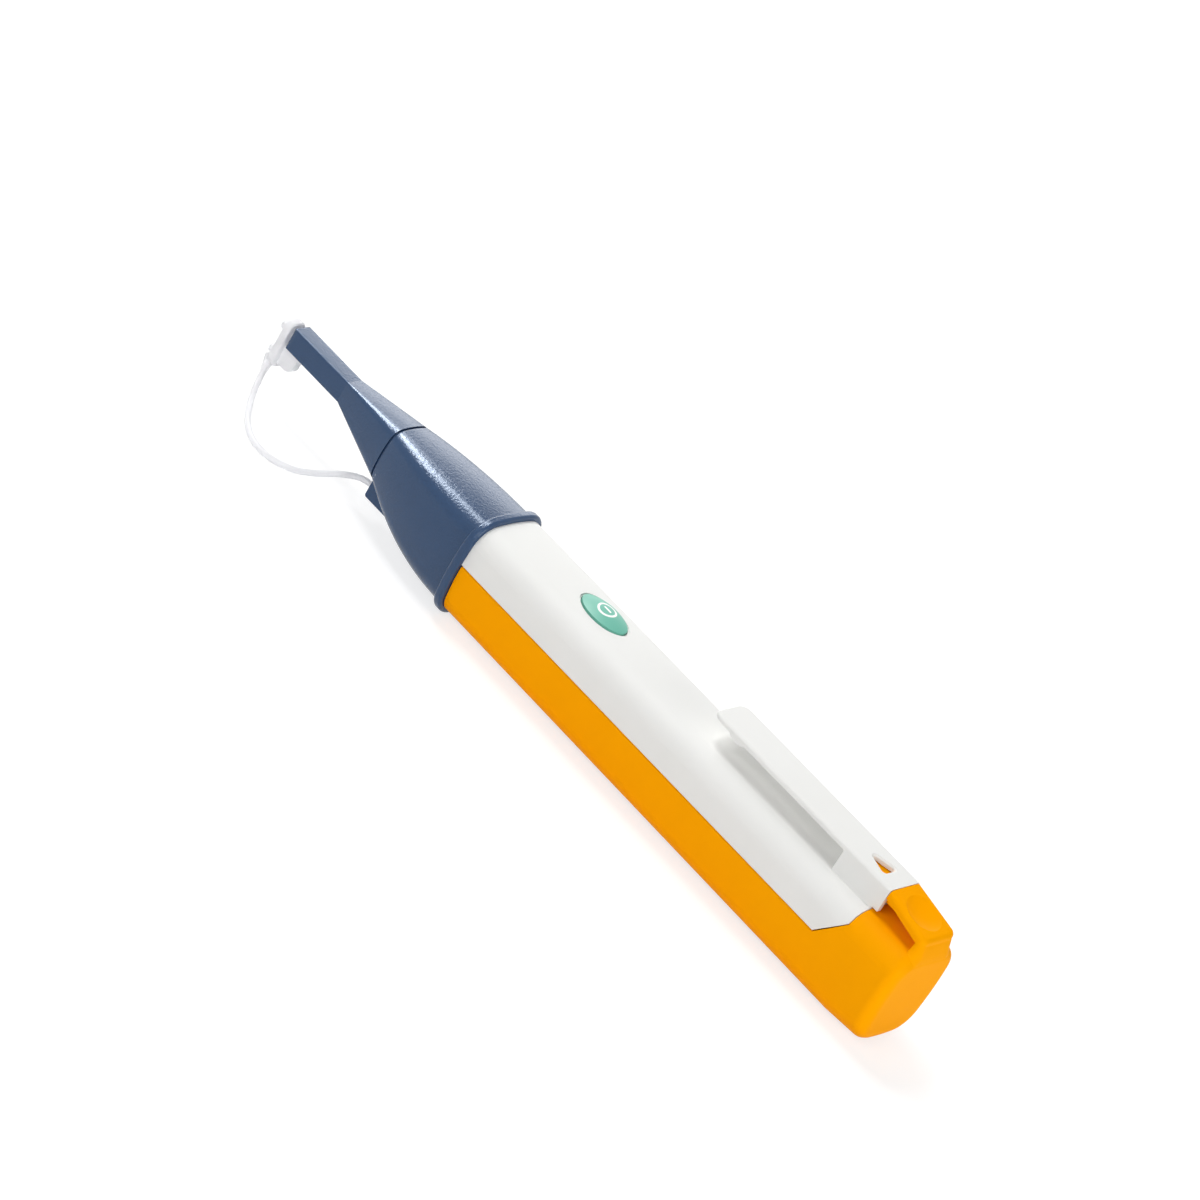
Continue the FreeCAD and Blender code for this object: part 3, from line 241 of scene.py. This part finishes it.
@dataclass(frozen=True)
class ClearPlastic(Finish):
    """A see-through plastic with a faint cloudiness."""

    clearness: float = 0.9
    cloud_mm: float = 1.2
    cloud_spread: float = 0.4

    def detail(self, tree: Tree, shader: Node, place: Socket) -> None:
        """Makes the plastic clear and lets its gloss cloud over in patches.

        Args:
            tree: The material's node tree.
            shader: The shader that the detail feeds.
            place: The object coordinates.
        """
        shader.inputs["Transmission Weight"].default_value = self.clearness
        cloud = add_node(
            tree,
            "ShaderNodeTexNoise",
            {"Scale": per_metre(self.cloud_mm), "Detail": FINE_LAYERS},
            {"Vector": place},
        )
        gloss = add_node(
            tree,
            "ShaderNodeMapRange",
            {
                "To Min": self.roughness * (1.0 - self.cloud_spread),
                "To Max": self.roughness * (1.0 + self.cloud_spread),
            },
            {"Value": cloud.outputs["Fac"]},
        )
        tree.links.new(gloss.outputs["Result"], shader.inputs["Roughness"])


@dataclass(frozen=True)
class PlatedMetal(Finish):
    """A plated metal with fine rolling marks along the pen."""

    mark_mm: float = 0.25
    mark_stretch: float = 14.0
    mark_spread: float = 0.3

    def detail(self, tree: Tree, shader: Node, place: Socket) -> None:
        """Makes the shader a metal and draws the rolling marks into its gloss.

        Args:
            tree: The material's node tree.
            shader: The shader that the detail feeds.
            place: The object coordinates.
        """
        shader.inputs["Metallic"].default_value = 1.0
        stretch = add_node(
            tree,
            "ShaderNodeMapping",
            {"Scale": (1.0 / self.mark_stretch, 1.0, 1.0)},
            {"Vector": place},
        )
        marks = add_node(
            tree,
            "ShaderNodeTexNoise",
            {"Scale": per_metre(self.mark_mm), "Detail": BROAD_LAYERS},
            {"Vector": stretch.outputs["Vector"]},
        )
        gloss = add_node(
            tree,
            "ShaderNodeMapRange",
            {
                "To Min": self.roughness * (1.0 - self.mark_spread),
                "To Max": self.roughness * (1.0 + self.mark_spread),
            },
            {"Value": marks.outputs["Fac"]},
        )
        tree.links.new(gloss.outputs["Result"], shader.inputs["Roughness"])


@dataclass(frozen=True)
class SolderResist(Finish):
    """A circuit board's resist, with the copper tracks showing through as paler lines.

    The tracks' width, the length of their runs and the space between them are in steps of step_mm.
    """

    track: str = "#2f8f57"
    step_mm: float = 2.4
    track_width: float = 0.06
    run_length: float = 1.7
    run_spacing: float = 0.6
    track_rise_mm: float = 0.03
    rise_strength: float = 0.6

    def detail(self, tree: Tree, shader: Node, place: Socket) -> None:
        """Draws the tracks as the joints of a brick pattern, a little proud of the board.

        Args:
            tree: The material's node tree.
            shader: The shader that the detail feeds.
            place: The object coordinates.
        """
        tracks = add_node(
            tree,
            "ShaderNodeTexBrick",
            {
                "Scale": per_metre(self.step_mm),
                "Color1": linear(self.colour),
                "Color2": linear(self.colour),
                "Mortar": linear(self.track),
                "Mortar Size": self.track_width,
                "Brick Width": self.run_length,
                "Row Height": self.run_spacing,
            },
            {"Vector": place},
        )
        tree.links.new(tracks.outputs["Color"], shader.inputs["Base Color"])
        bump = add_node(
            tree,
            "ShaderNodeBump",
            {"Strength": self.rise_strength, "Distance": self.track_rise_mm * MM},
            {"Height": tracks.outputs["Fac"]},
        )
        tree.links.new(bump.outputs["Normal"], shader.inputs["Normal"])


@dataclass(frozen=True)
class EndCappedChip(Finish):
    """A fired chip with tinned caps on its two ends across the pen."""

    cap_colour: str = "#c4c4c0"
    cap_from_mm: float = 0.5
    fleck_mm: float = 0.2
    gloss_change: float = 0.1

    def detail(self, tree: Tree, shader: Node, place: Socket) -> None:
        """Turns the surface to tin beyond a distance from the pen's middle plane.

        Args:
            tree: The material's node tree.
            shader: The shader that the detail feeds.
            place: The object coordinates.
        """
        parts = add_node(tree, "ShaderNodeSeparateXYZ", links={"Vector": place})
        across = add_node(
            tree, "ShaderNodeMath", {"operation": "ABSOLUTE"}, {0: parts.outputs["Y"]}
        )
        tinned = add_node(
            tree,
            "ShaderNodeMath",
            {"operation": "GREATER_THAN", 1: self.cap_from_mm * MM},
            {0: across.outputs["Value"]},
        )
        tint = add_node(
            tree,
            "ShaderNodeMix",
            {
                "data_type": "RGBA",
                MIX_FIRST: linear(self.colour),
                MIX_SECOND: linear(self.cap_colour),
            },
            {0: tinned.outputs["Value"]},
        )
        tree.links.new(tint.outputs[MIX_RESULT], shader.inputs["Base Color"])
        tree.links.new(tinned.outputs["Value"], shader.inputs["Metallic"])
        fleck = add_node(
            tree,
            "ShaderNodeTexNoise",
            {"Scale": per_metre(self.fleck_mm), "Detail": FINE_LAYERS},
            {"Vector": place},
        )
        gloss = add_node(
            tree,
            "ShaderNodeMapRange",
            {
                "To Min": self.roughness - self.gloss_change,
                "To Max": self.roughness + self.gloss_change,
            },
            {"Value": fleck.outputs["Fac"]},
        )
        tree.links.new(gloss.outputs["Result"], shader.inputs["Roughness"])


@dataclass(frozen=True)
class CellSleeve(Finish):
    """A cell's shrunk sleeve: a plain wrap, a band at the plus end and bare steel at both ends."""

    band: str = "#3f7f6b"
    steel: str = "#c9c8c4"
    first_start_mm: float = -19.3
    cell_length_mm: float = 44.5
    steel_to_mm: float = 1.5
    band_to_mm: float = 11.0
    wrap_to_mm: float = 43.9

    def detail(self, tree: Tree, shader: Node, place: Socket) -> None:
        """Colours each cell by the distance from its plus end.

        Args:
            tree: The material's node tree.
            shader: The shader that the detail feeds.
            place: The object coordinates.
        """
        parts = add_node(tree, "ShaderNodeSeparateXYZ", links={"Vector": place})
        along = add_node(
            tree,
            "ShaderNodeMath",
            {
                "operation": "WRAP",
                1: (self.first_start_mm + self.cell_length_mm) * MM,
                2: self.first_start_mm * MM,
            },
            {0: parts.outputs["X"]},
        )
        colour: Socket | None = None
        metal: Socket | None = None
        for limit, tone in (
            (self.steel_to_mm, self.band),
            (self.band_to_mm, self.colour),
            (self.wrap_to_mm, self.steel),
        ):
            past = add_node(
                tree,
                "ShaderNodeMath",
                {"operation": "GREATER_THAN", 1: (self.first_start_mm + limit) * MM},
                {0: along.outputs["Value"]},
            )
            step = add_node(
                tree,
                "ShaderNodeMix",
                {"data_type": "RGBA", MIX_FIRST: linear(self.steel), MIX_SECOND: linear(tone)},
                {0: past.outputs["Value"]},
            )
            if colour is not None:
                tree.links.new(colour, step.inputs[MIX_FIRST])
            colour = step.outputs[MIX_RESULT]
            metal = past.outputs["Value"]
        tree.links.new(colour, shader.inputs["Base Color"])
        tree.links.new(metal, shader.inputs["Metallic"])


# ABS, moulded against a spark-eroded face: a clean white with a soft sheen and a barely seen grain.
# The real grain is near 0.05 mm; here and below it is drawn coarser so that it shows.
WHITE_ABS = MouldedPlastic(
    "white_abs_satin_moulded", "#ebebe9", 0.5, specular=0.12, shade="#e6e6e3", grain_depth_mm=0.002
)
# The same ABS in warm yellow: a deep, even colour with hardly any gloss.
YELLOW_ABS = MouldedPlastic(
    "yellow_abs_satin_moulded", "#ffa800", 0.4, specular=0.01, shade="#fba200", grain_depth_mm=0.002
)
# ABS in slate blue with a coarser mould texture: the highlights take a blue cast and break into
# speckle.
SLATE_ABS = MouldedPlastic(
    "slate_abs_textured_moulded",
    "#2e4769",
    0.24,
    specular=0.42,
    gloss_tint="#e0eeff",
    shade="#2a4263",
    grain_mm=0.5,
    grain_depth_mm=0.06,
)
# Thermoplastic elastomer: a matt, slightly waxy button that still rounds off with a soft light.
TEAL_ELASTOMER = MouldedPlastic(
    "teal_elastomer_moulded",
    "#70b9a6",
    0.46,
    specular=0.3,
    shade="#69b39f",
    grain_mm=0.4,
    grain_depth_mm=0.003,
)
# Pad-printed ink: a thin matt white film with the slight mottle of the pad.
WHITE_INK = MouldedPlastic(
    "white_ink_pad_printed",
    "#fafaf8",
    0.55,
    shade="#f2f2f0",
    drift_mm=0.8,
    grain_mm=0.3,
    grain_depth_mm=0.003,
)
# Silicone, moulded: clear but a little milky, so that it shows only by its edges.
CLEAR_SILICONE = ClearPlastic(
    "clear_silicone_moulded", "#f6f6f8", 0.55, 1.41, specular=0.12, clearness=0.35
)
# Acrylic, polished: a light guide that looks like a rod of water.
CLEAR_ACRYLIC = ClearPlastic("clear_acrylic_polished", "#f4f8fa", 0.06, 1.49, clearness=1.0)
# Glass-filled nylon, moulded: a dull dark grey frame with a dry, fibrous face.
GREY_NYLON = MouldedPlastic(
    "grey_nylon_glass_filled_moulded",
    "#5b5e63",
    0.6,
    shade="#53565b",
    grain_mm=0.5,
    grain_depth_mm=0.012,
)
# Epoxy moulding compound: near black and matt, with a fine grit.
BLACK_EPOXY = MouldedPlastic(
    "black_epoxy_moulded",
    "#1d1e20",
    0.58,
    shade="#232427",
    drift_mm=3.0,
    grain_mm=0.3,
    grain_depth_mm=0.008,
)
# Steel strip with tin plate: bright, with rolling marks that soften its reflections.
TIN_PLATE = PlatedMetal("tin_plated_steel_rolled", "#cfcdc8", 0.28)
# Fibreglass board under green resist, with its tracks as slightly raised, paler lines.
GREEN_BOARD = SolderResist("fibreglass_board_green_resist", "#145c38", 0.35)
# Fired ceramic with tinned ends: a dull tan block between two bright caps.
TAN_CERAMIC = EndCappedChip("tan_ceramic_fired", "#a67d57", 0.5)
# A thick-film resistor chip: black glaze between tinned ends.
BLACK_GLAZE = EndCappedChip("black_glaze_fired", "#1f1f21", 0.4)
# Polyester sleeve, shrunk on a steel can: smooth, a little glossy, with bare ends.
CELL_WRAP = CellSleeve("polyester_sleeve_shrunk", "#8f959c", 0.32)


@dataclass
class FinishShelf:
    """Builds each finish once and hands out its material."""

    made: dict[str, bpy.types.Material] = field(default_factory=dict)

    def take(self, finish: Finish) -> bpy.types.Material:
        """Gives the material of a finish, made at its first use.

        Args:
            finish: The finish that is wanted.

        Returns:
            Its material.
        """
        if finish.name not in self.made:
            self.made[finish.name] = finish.build()
        return self.made[finish.name]

    def dress(self, piece: bpy.types.Object, finish: Finish) -> None:
        """Gives a piece one finish all over.

        Args:
            piece: A CAD node's object or a new piece.
            finish: The finish that it gets.
        """
        material = self.take(finish)
        if not piece.material_slots:
            piece.data.materials.append(material)
        for slot in piece.material_slots:
            slot.material = material
        LOG.info("%s wears %s", piece.name, finish.name)

    def dress_nodes(self, finishes: dict[str, Finish]) -> None:
        """Dresses CAD nodes by name."""
        for node, finish in finishes.items():
            self.dress(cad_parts[node], finish)


def deselect_all() -> None:
    """Leaves edit mode, if it is on, and clears the selection."""
    if bpy.context.object and bpy.context.object.mode != "OBJECT":
        bpy.ops.object.mode_set(mode="OBJECT")
    bpy.ops.object.select_all(action="DESELECT")


@dataclass
class PhotoCamera:
    """The camera at the photograph's viewing angle."""

    target: Point = (0.0, 0.0, 0.0124)
    azimuth: float = 27.7795
    elevation: float = 29.4627
    roll: float = 31.5038
    distance: float = 1.0
    lens: float = 170.7
    sensor: float = 36.0
    shift_x: float = 0.00895
    shift_y: float = 0.0488

    def place(self) -> None:
        """Adds the camera and makes it the scene's own."""
        turn, lift, lean = (math.radians(a) for a in (self.azimuth, self.elevation, self.roll))
        back = Vector(
            (math.sin(turn) * math.cos(lift), -math.cos(turn) * math.cos(lift), math.sin(lift))
        )
        level_right = Vector((math.cos(turn), math.sin(turn), 0.0))
        level_up = back.cross(level_right)
        right = level_right * math.cos(lean) + level_up * math.sin(lean)
        up = level_up * math.cos(lean) - level_right * math.sin(lean)
        lens = bpy.data.cameras.new("photo_camera")
        lens.lens = self.lens
        lens.sensor_width = self.sensor
        lens.shift_x = self.shift_x
        lens.shift_y = self.shift_y
        camera = bpy.data.objects.new("photo_camera", lens)
        bpy.context.scene.collection.objects.link(camera)
        axes = Matrix((right, up, back)).transposed().to_4x4()
        camera.matrix_world = Matrix.Translation(Vector(self.target) + back * self.distance) @ axes
        bpy.context.scene.camera = camera
        LOG.info("camera placed")


@dataclass(frozen=True)
class Softbox:
    """A studio light that points at the pen."""

    name: str
    place: Point
    width: float
    height: float
    power: float
    gloss_only: bool = False


@dataclass
class Studio:
    """A plain pale floor, a white room and soft lights."""

    floor_size: float = 8.0
    floor_drop: float = 0.00002
    floor_tone: str = "#f4f4f4"
    shadow_tone: str = "#a8a8a8"
    glow_near: float = 0.72
    glow_far: float = 1.0
    glow_rise: tuple[float, float] = (0.25, 0.8)
    room_light: float = 0.19
    aim: Point = (0.0, 0.0, 0.01)
    softboxes: tuple[Softbox, ...] = (
        Softbox("overhead_softbox", (-0.45, -0.04, 0.89), 0.25, 0.25, 4.0),
        Softbox("ridge_strip", (-0.69, -0.07, 0.70), 0.48, 0.22, 11.5, gloss_only=True),
        Softbox("nose_softbox", (-0.66, 0.32, 0.67), 0.42, 0.21, 2.7),
        Softbox("far_softbox", (-0.58, 0.76, 0.34), 0.7, 0.4, 2.5),
        Softbox("near_softbox", (0.10, -0.82, 0.57), 0.8, 0.5, 3.5),
        Softbox("tail_softbox", (1.05, -0.10, 0.25), 0.6, 0.45, 5.0),
    )

    def build(self) -> None:
        """Makes the room, the floor and the lights."""
        scene = bpy.context.scene
        scene.view_settings.view_transform = "Standard"
        self.room()
        self.floor()
        for softbox in self.softboxes:
            self.light(softbox)

    def seen(self, tree: Tree) -> Socket:
        """Tells the rays that show the room from those that only light the pen.

        Args:
            tree: The node tree that asks.

        Returns:
            A socket that is 1 where a ray comes from the camera, a reflection or a clear piece, and
            else 0.
        """
        path = add_node(tree, "ShaderNodeLightPath").outputs
        shine = add_node(
            tree,
            "ShaderNodeMath",
            {"operation": "MAXIMUM"},
            {0: path["Is Glossy Ray"], 1: path["Is Transmission Ray"]},
        )
        either = add_node(
            tree,
            "ShaderNodeMath",
            {"operation": "MAXIMUM"},
            {0: path["Is Camera Ray"], 1: shine.outputs["Value"]},
        )
        return either.outputs["Value"]

    def room(self) -> None:
        """Lights the pen evenly from all round, and shows pure white behind it."""
        world = bpy.data.worlds.new("white_room")
        bpy.context.scene.world = world
        world.use_nodes = True
        tree = world.node_tree
        tree.nodes.clear()
        strength = add_node(
            tree,
            "ShaderNodeMapRange",
            {"To Min": self.room_light, "To Max": 1.0},
            {"Value": self.seen(tree)},
        )
        background = add_node(
            tree,
            "ShaderNodeBackground",
            {"Color": linear(PURE_WHITE)},
            {"Strength": strength.outputs["Result"]},
        )
        add_node(tree, "ShaderNodeOutputWorld", links={"Surface": background.outputs["Background"]})

    def floor(self) -> None:
        """Adds the floor, which glows to white for the camera and keeps the pen's shadow.

        The glow is lower round the pen, where the lamps and the shadow fall, and full farther out.
        """
        deselect_all()
        bpy.ops.mesh.primitive_plane_add(
            size=self.floor_size, location=(0.0, 0.0, -self.floor_drop)
        )
        floor = bpy.context.object
        floor.name = "studio_floor"
        material = bpy.data.materials.new("white_paper_sweep")
        material.use_nodes = True
        tree = material.node_tree
        tree.nodes.clear()
        seen = self.seen(tree)
        tone = add_node(
            tree,
            "ShaderNodeMix",
            {
                "data_type": "RGBA",
                MIX_FIRST: linear(self.floor_tone),
                MIX_SECOND: linear(self.shadow_tone),
            },
            {0: seen},
        )
        paper = add_node(tree, "ShaderNodeBsdfDiffuse", links={"Color": tone.outputs[MIX_RESULT]})
        place = add_node(tree, "ShaderNodeTexCoord").outputs["Object"]
        reach = add_node(tree, "ShaderNodeVectorMath", {"operation": "LENGTH"}, {0: place})
        start, end = self.glow_rise
        rise = add_node(
            tree,
            "ShaderNodeMapRange",
            {
                "From Min": start,
                "From Max": end,
                "To Min": self.glow_near,
                "To Max": self.glow_far,
            },
            {"Value": reach.outputs["Value"]},
        )
        level = add_node(
            tree,
            "ShaderNodeMath",
            {"operation": "MULTIPLY"},
            {0: seen, 1: rise.outputs["Result"]},
        )
        glow = add_node(
            tree,
            "ShaderNodeEmission",
            {"Color": linear(PURE_WHITE)},
            {"Strength": level.outputs["Value"]},
        )
        both = add_node(
            tree,
            "ShaderNodeAddShader",
            links={0: paper.outputs["BSDF"], 1: glow.outputs["Emission"]},
        )
        add_node(tree, "ShaderNodeOutputMaterial", links={"Surface": both.outputs["Shader"]})
        floor.data.materials.append(material)

    def light(self, softbox: Softbox) -> None:
        """Adds one softbox; one for gloss only shows in reflections and lights nothing else.

        Args:
            softbox: The light's name, place, size and power.
        """
        lamp = bpy.data.lights.new(softbox.name, "AREA")
        lamp.shape = "RECTANGLE"
        lamp.size = softbox.width
        lamp.size_y = softbox.height
        lamp.energy = softbox.power
        holder = bpy.data.objects.new(softbox.name, lamp)
        holder.location = softbox.place
        holder.visible_diffuse = not softbox.gloss_only
        holder.visible_transmission = not softbox.gloss_only
        toward = Vector(self.aim) - Vector(softbox.place)
        holder.rotation_euler = toward.to_track_quat("-Z", "Y").to_euler()
        bpy.context.scene.collection.objects.link(holder)


@dataclass
class CapTether:
    """The clear cap over the probe and the limp strap that keeps it on the pen."""

    route: tuple[Point, ...] = (
        (-0.0551, 0.0, 0.00475),
        (-0.0581, 0.0, 0.00475),
        (-0.0617, -0.0021, 0.0031),
        (-0.0643, -0.0056, 0.0013),
        (-0.0668, -0.0094, 0.00062),
        (-0.0708, -0.0123, 0.00062),
        (-0.0756, -0.0121, 0.00062),
        (-0.0798, -0.0096, 0.00062),
        (-0.0833, -0.0065, 0.0015),
        (-0.0860, -0.0036, 0.0037),
        (-0.0874, -0.0016, 0.0057),
    )
    radius: float = 0.0006
    length: float = 0.0433
    sides: int = 16
    steps: int = 10
    neck_end: Point = (-0.08894, 0.00061, 0.00791)
    neck_axis: Point = (-0.4437, 0.6339, 0.6339)
    neck_radius: float = 0.0011
    neck_dome: float = 0.0006
    neck_sink: float = 0.00015
    dome_segments: int = 24
    dome_rings: int = 12

    def build(self, shelf: FinishShelf) -> None:
        """Makes the strap and the neck's rounded end, ties the end to the cap and dresses all
        three.

        Args:
            shelf: Where the materials come from.
        """
        path = self.centreline()
        strap = self.tube(path)
        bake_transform(strap)
        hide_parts("tether")
        shelf.dress(strap, CLEAR_SILICONE)
        shelf.dress_nodes({"tip_cap": CLEAR_SILICONE})
        dome = self.dome()
        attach(dome, Body.CAP.value)
        shelf.dress(dome, CLEAR_SILICONE)

    def dome(self) -> bpy.types.Object:
        """Makes the rounded end of the cap's neck, set a little way into it.

        Returns:
            The rounded end, flat on its inner side.
        """
        deselect_all()
        bpy.ops.mesh.primitive_uv_sphere_add(
            segments=self.dome_segments, ring_count=self.dome_rings, radius=self.neck_radius
        )
        dome = bpy.context.object
        dome.name = "neck_end"
        bpy.ops.object.mode_set(mode="EDIT")
        bpy.ops.mesh.select_all(action="SELECT")
        bpy.ops.mesh.bisect(
            plane_co=(0.0, 0.0, 0.0), plane_no=(0.0, 0.0, 1.0), use_fill=True, clear_inner=True
        )
        bpy.ops.object.mode_set(mode="OBJECT")
        axis = Vector(self.neck_axis).normalized()
        dome.scale = (1.0, 1.0, self.neck_dome / self.neck_radius)
        dome.rotation_euler = axis.to_track_quat("Z", "Y").to_euler()
        dome.location = Vector(self.neck_end) - axis * self.neck_sink
        bpy.ops.object.transform_apply(location=True, rotation=True, scale=True)
        bpy.ops.object.shade_smooth_by_angle(angle=SMOOTH_ANGLE)
        return dome

    def centreline(self) -> list[Vector]:
        """Reads the strap's line from a spline whose control points are the route.

        Returns:
            The points along the spline, from the pen to the cap.
        """
        curve = bpy.data.curves.new("tether_route", "CURVE")
        curve.dimensions = "3D"
        curve.resolution_u = self.steps
        spline = curve.splines.new("NURBS")
        spline.points.add(len(self.route) - 1)
        for point, place in zip(spline.points, self.route):
            point.co = (*place, 1.0)
        spline.order_u = 3
        spline.use_endpoint_u = True
        holder = bpy.data.objects.new("tether_route", curve)
        bpy.context.scene.collection.objects.link(holder)
        graph = bpy.context.evaluated_depsgraph_get()
        line = bpy.data.meshes.new_from_object(holder.evaluated_get(graph))
        points = [vertex.co.copy() for vertex in line.vertices]
        bpy.data.objects.remove(holder)
        bpy.data.curves.remove(curve)
        bpy.data.meshes.remove(line)
        return points

    def tube(self, path: list[Vector]) -> bpy.types.Object:
        """Makes the strap's skin: a ring at each point, carried along without twist.

        Args:
            path: The points that the strap follows.

        Returns:
            The strap, closed at both ends.
        """
        ahead = (path[1] - path[0]).normalized()
        side = ahead.cross(Vector((0.0, 0.0, 1.0))).normalized()
        vertices = []
        for place, point in enumerate(path):
            before = path[max(place - 1, 0)]
            after = path[min(place + 1, len(path) - 1)]
            ahead = (after - before).normalized()
            side = (side - ahead * side.dot(ahead)).normalized()
            up = ahead.cross(side)
            for step in range(self.sides):
                angle = 2 * math.pi * step / self.sides
                spoke = side * math.cos(angle) + up * math.sin(angle)
                vertices.append(point + spoke * self.radius)
        faces = []
        for ring in range(len(path) - 1):
            for step in range(self.sides):
                near = ring * self.sides + step
                beside = ring * self.sides + (step + 1) % self.sides
                faces.append((near, beside, beside + self.sides, near + self.sides))
        faces.append(tuple(reversed(range(self.sides))))
        faces.append(tuple(range(len(vertices) - self.sides, len(vertices))))
        mesh = bpy.data.meshes.new("cap_strap")
        mesh.from_pydata(vertices, [], faces)
        strap = bpy.data.objects.new("cap_strap", mesh)
        bpy.context.scene.collection.objects.link(strap)
        deselect_all()
        strap.select_set(True)
        bpy.context.view_layer.objects.active = strap
        bpy.ops.object.shade_smooth_by_angle(angle=SMOOTH_ANGLE)
        return strap


@dataclass
class PowerControl:
    """The power button with its printed sign, and the switch under it."""

    ring_radius: float = 0.00195
    stroke: float = 0.00045
    ring_steps: int = 72
    ring_cuts: int = 1
    bar: tuple[float, float] = (-0.00085, 0.00085)
    bar_cuts: int = 7
    film: float = 0.00004
    start_lift: float = 0.001

    def build(self, shelf: FinishShelf) -> None:
        """Prints the sign on the button and dresses the button and the switch.

        Args:
            shelf: Where the materials come from.
        """
        shelf.dress_nodes(
            {
                "power_button": TEAL_ELASTOMER,
                "power_switch": BLACK_EPOXY,
                "switch_plunger": BLACK_EPOXY,
            }
        )
        low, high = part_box("power_button")
        centre = Vector(((low.x + high.x) / 2, (low.y + high.y) / 2, high.z))
        marks = {"power_ring": self.ring(centre), "power_bar": self.stroke_bar(centre)}
        for name, mark in marks.items():
            self.lay_on_button(mark)
            mark.name = name
            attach(mark, Body.BUTTON.value)
            shelf.dress(mark, WHITE_INK)

    def ring(self, centre: Vector) -> bpy.types.Object:
        """Makes the flat ring over the button.

        Args:
            centre: The top of the button's dome.

        Returns:
            The ring.
        """
        deselect_all()
        bpy.ops.mesh.primitive_circle_add(
            vertices=self.ring_steps,
            radius=self.ring_radius,
            location=centre + Vector((0.0, 0.0, self.start_lift)),
        )
        ring = bpy.context.object
        bpy.ops.object.mode_set(mode="EDIT")
        bpy.ops.mesh.extrude_edges_move()
        inner = (self.ring_radius - self.stroke) / self.ring_radius
        bpy.ops.transform.resize(value=(inner, inner, 1.0))
        bpy.ops.mesh.select_all(action="SELECT")
        bpy.ops.mesh.subdivide(number_cuts=self.ring_cuts)
        bpy.ops.object.mode_set(mode="OBJECT")
        return ring

    def stroke_bar(self, centre: Vector) -> bpy.types.Object:
        """Makes the flat bar inside the ring.

        Args:
            centre: The top of the button's dome.

        Returns:
            The bar.
        """
        deselect_all()
        start, end = self.bar
        middle = centre + Vector(((start + end) / 2, 0.0, self.start_lift))
        bpy.ops.mesh.primitive_plane_add(size=1.0, location=middle)
        bar = bpy.context.object
        bar.scale = (end - start, self.stroke, 1.0)
        bpy.ops.object.transform_apply(location=False, rotation=False, scale=True)
        bpy.ops.object.mode_set(mode="EDIT")
        bpy.ops.mesh.select_all(action="SELECT")
        bpy.ops.mesh.subdivide(number_cuts=self.bar_cuts)
        bpy.ops.object.mode_set(mode="OBJECT")
        return bar

    def lay_on_button(self, mark: bpy.types.Object) -> None:
        """Lays a flat mark on the button's dome as a thin film of ink.

        Args:
            mark: The flat mark, over the button.
        """
        deselect_all()
        mark.select_set(True)
        bpy.context.view_layer.objects.active = mark
        bpy.ops.object.transform_apply(location=True, rotation=True, scale=True)
        bpy.ops.object.mode_set(mode="EDIT")
        bpy.ops.mesh.select_all(action="SELECT")
        bpy.ops.mesh.normals_make_consistent(inside=False)
        bpy.ops.object.mode_set(mode="OBJECT")
        wrap = mark.modifiers.new("lay_down", "SHRINKWRAP")
        wrap.wrap_method = "PROJECT"
        wrap.use_project_z = True
        wrap.use_negative_direction = True
        wrap.use_positive_direction = False
        wrap.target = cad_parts["power_button"]
        bpy.ops.object.modifier_apply(modifier=wrap.name)
        film = mark.modifiers.new("film", "SOLIDIFY")
        film.thickness = self.film
        film.offset = 0.0
        bpy.ops.object.modifier_apply(modifier=film.name)
        bpy.ops.object.shade_smooth_by_angle(angle=SMOOTH_ANGLE)


@dataclass
class Housing:
    """The shells, the nose cone and the probe."""

    finishes: dict[str, Finish] = field(
        default_factory=lambda: {
            "upper_shell": WHITE_ABS,
            "lower_shell": YELLOW_ABS,
            "nose_cone": SLATE_ABS,
            "probe_tip": SLATE_ABS,
        }
    )

    def build(self, shelf: FinishShelf) -> None:
        """Dresses the housing."""
        shelf.dress_nodes(self.finishes)


@dataclass
class Electronics:
    """The light path, the circuit board and what stands on it."""

    finishes: dict[str, Finish] = field(
        default_factory=lambda: {
            "light_guide": CLEAR_ACRYLIC,
            "photodiode": TIN_PLATE,
            "main_board": GREEN_BOARD,
            "microcontroller": BLACK_EPOXY,
            "amplifier_chip": BLACK_EPOXY,
            "chip_resistors": BLACK_GLAZE,
            "chip_capacitors": TAN_CERAMIC,
            "indicator_led": CLEAR_ACRYLIC,
            "buzzer": BLACK_EPOXY,
        }
    )

    def build(self, shelf: FinishShelf) -> None:
        """Dresses the electronics."""
        shelf.dress_nodes(self.finishes)


@dataclass
class BatteryBay:
    """The cradle, its contacts and screws, and the two cells."""

    finishes: dict[str, Finish] = field(
        default_factory=lambda: {
            "battery_cradle": GREY_NYLON,
            "battery_spring": TIN_PLATE,
            "battery_strip": TIN_PLATE,
            "cell_front": CELL_WRAP,
            "cell_rear": CELL_WRAP,
            "chassis_screws": TIN_PLATE,
        }
    )

    def build(self, shelf: FinishShelf) -> None:
        """Dresses the battery bay."""
        shelf.dress_nodes(self.finishes)


def main() -> None:
    """Builds the studio and the pen's sub-assemblies in order."""
    logging.basicConfig(level=logging.INFO, format="%(message)s")
    shelf = FinishShelf()
    PhotoCamera().place()
    Studio().build()
    for assembly in (CapTether(), PowerControl(), Housing(), Electronics(), BatteryBay()):
        assembly.build(shelf)


if __name__ == "__main__":
    main()
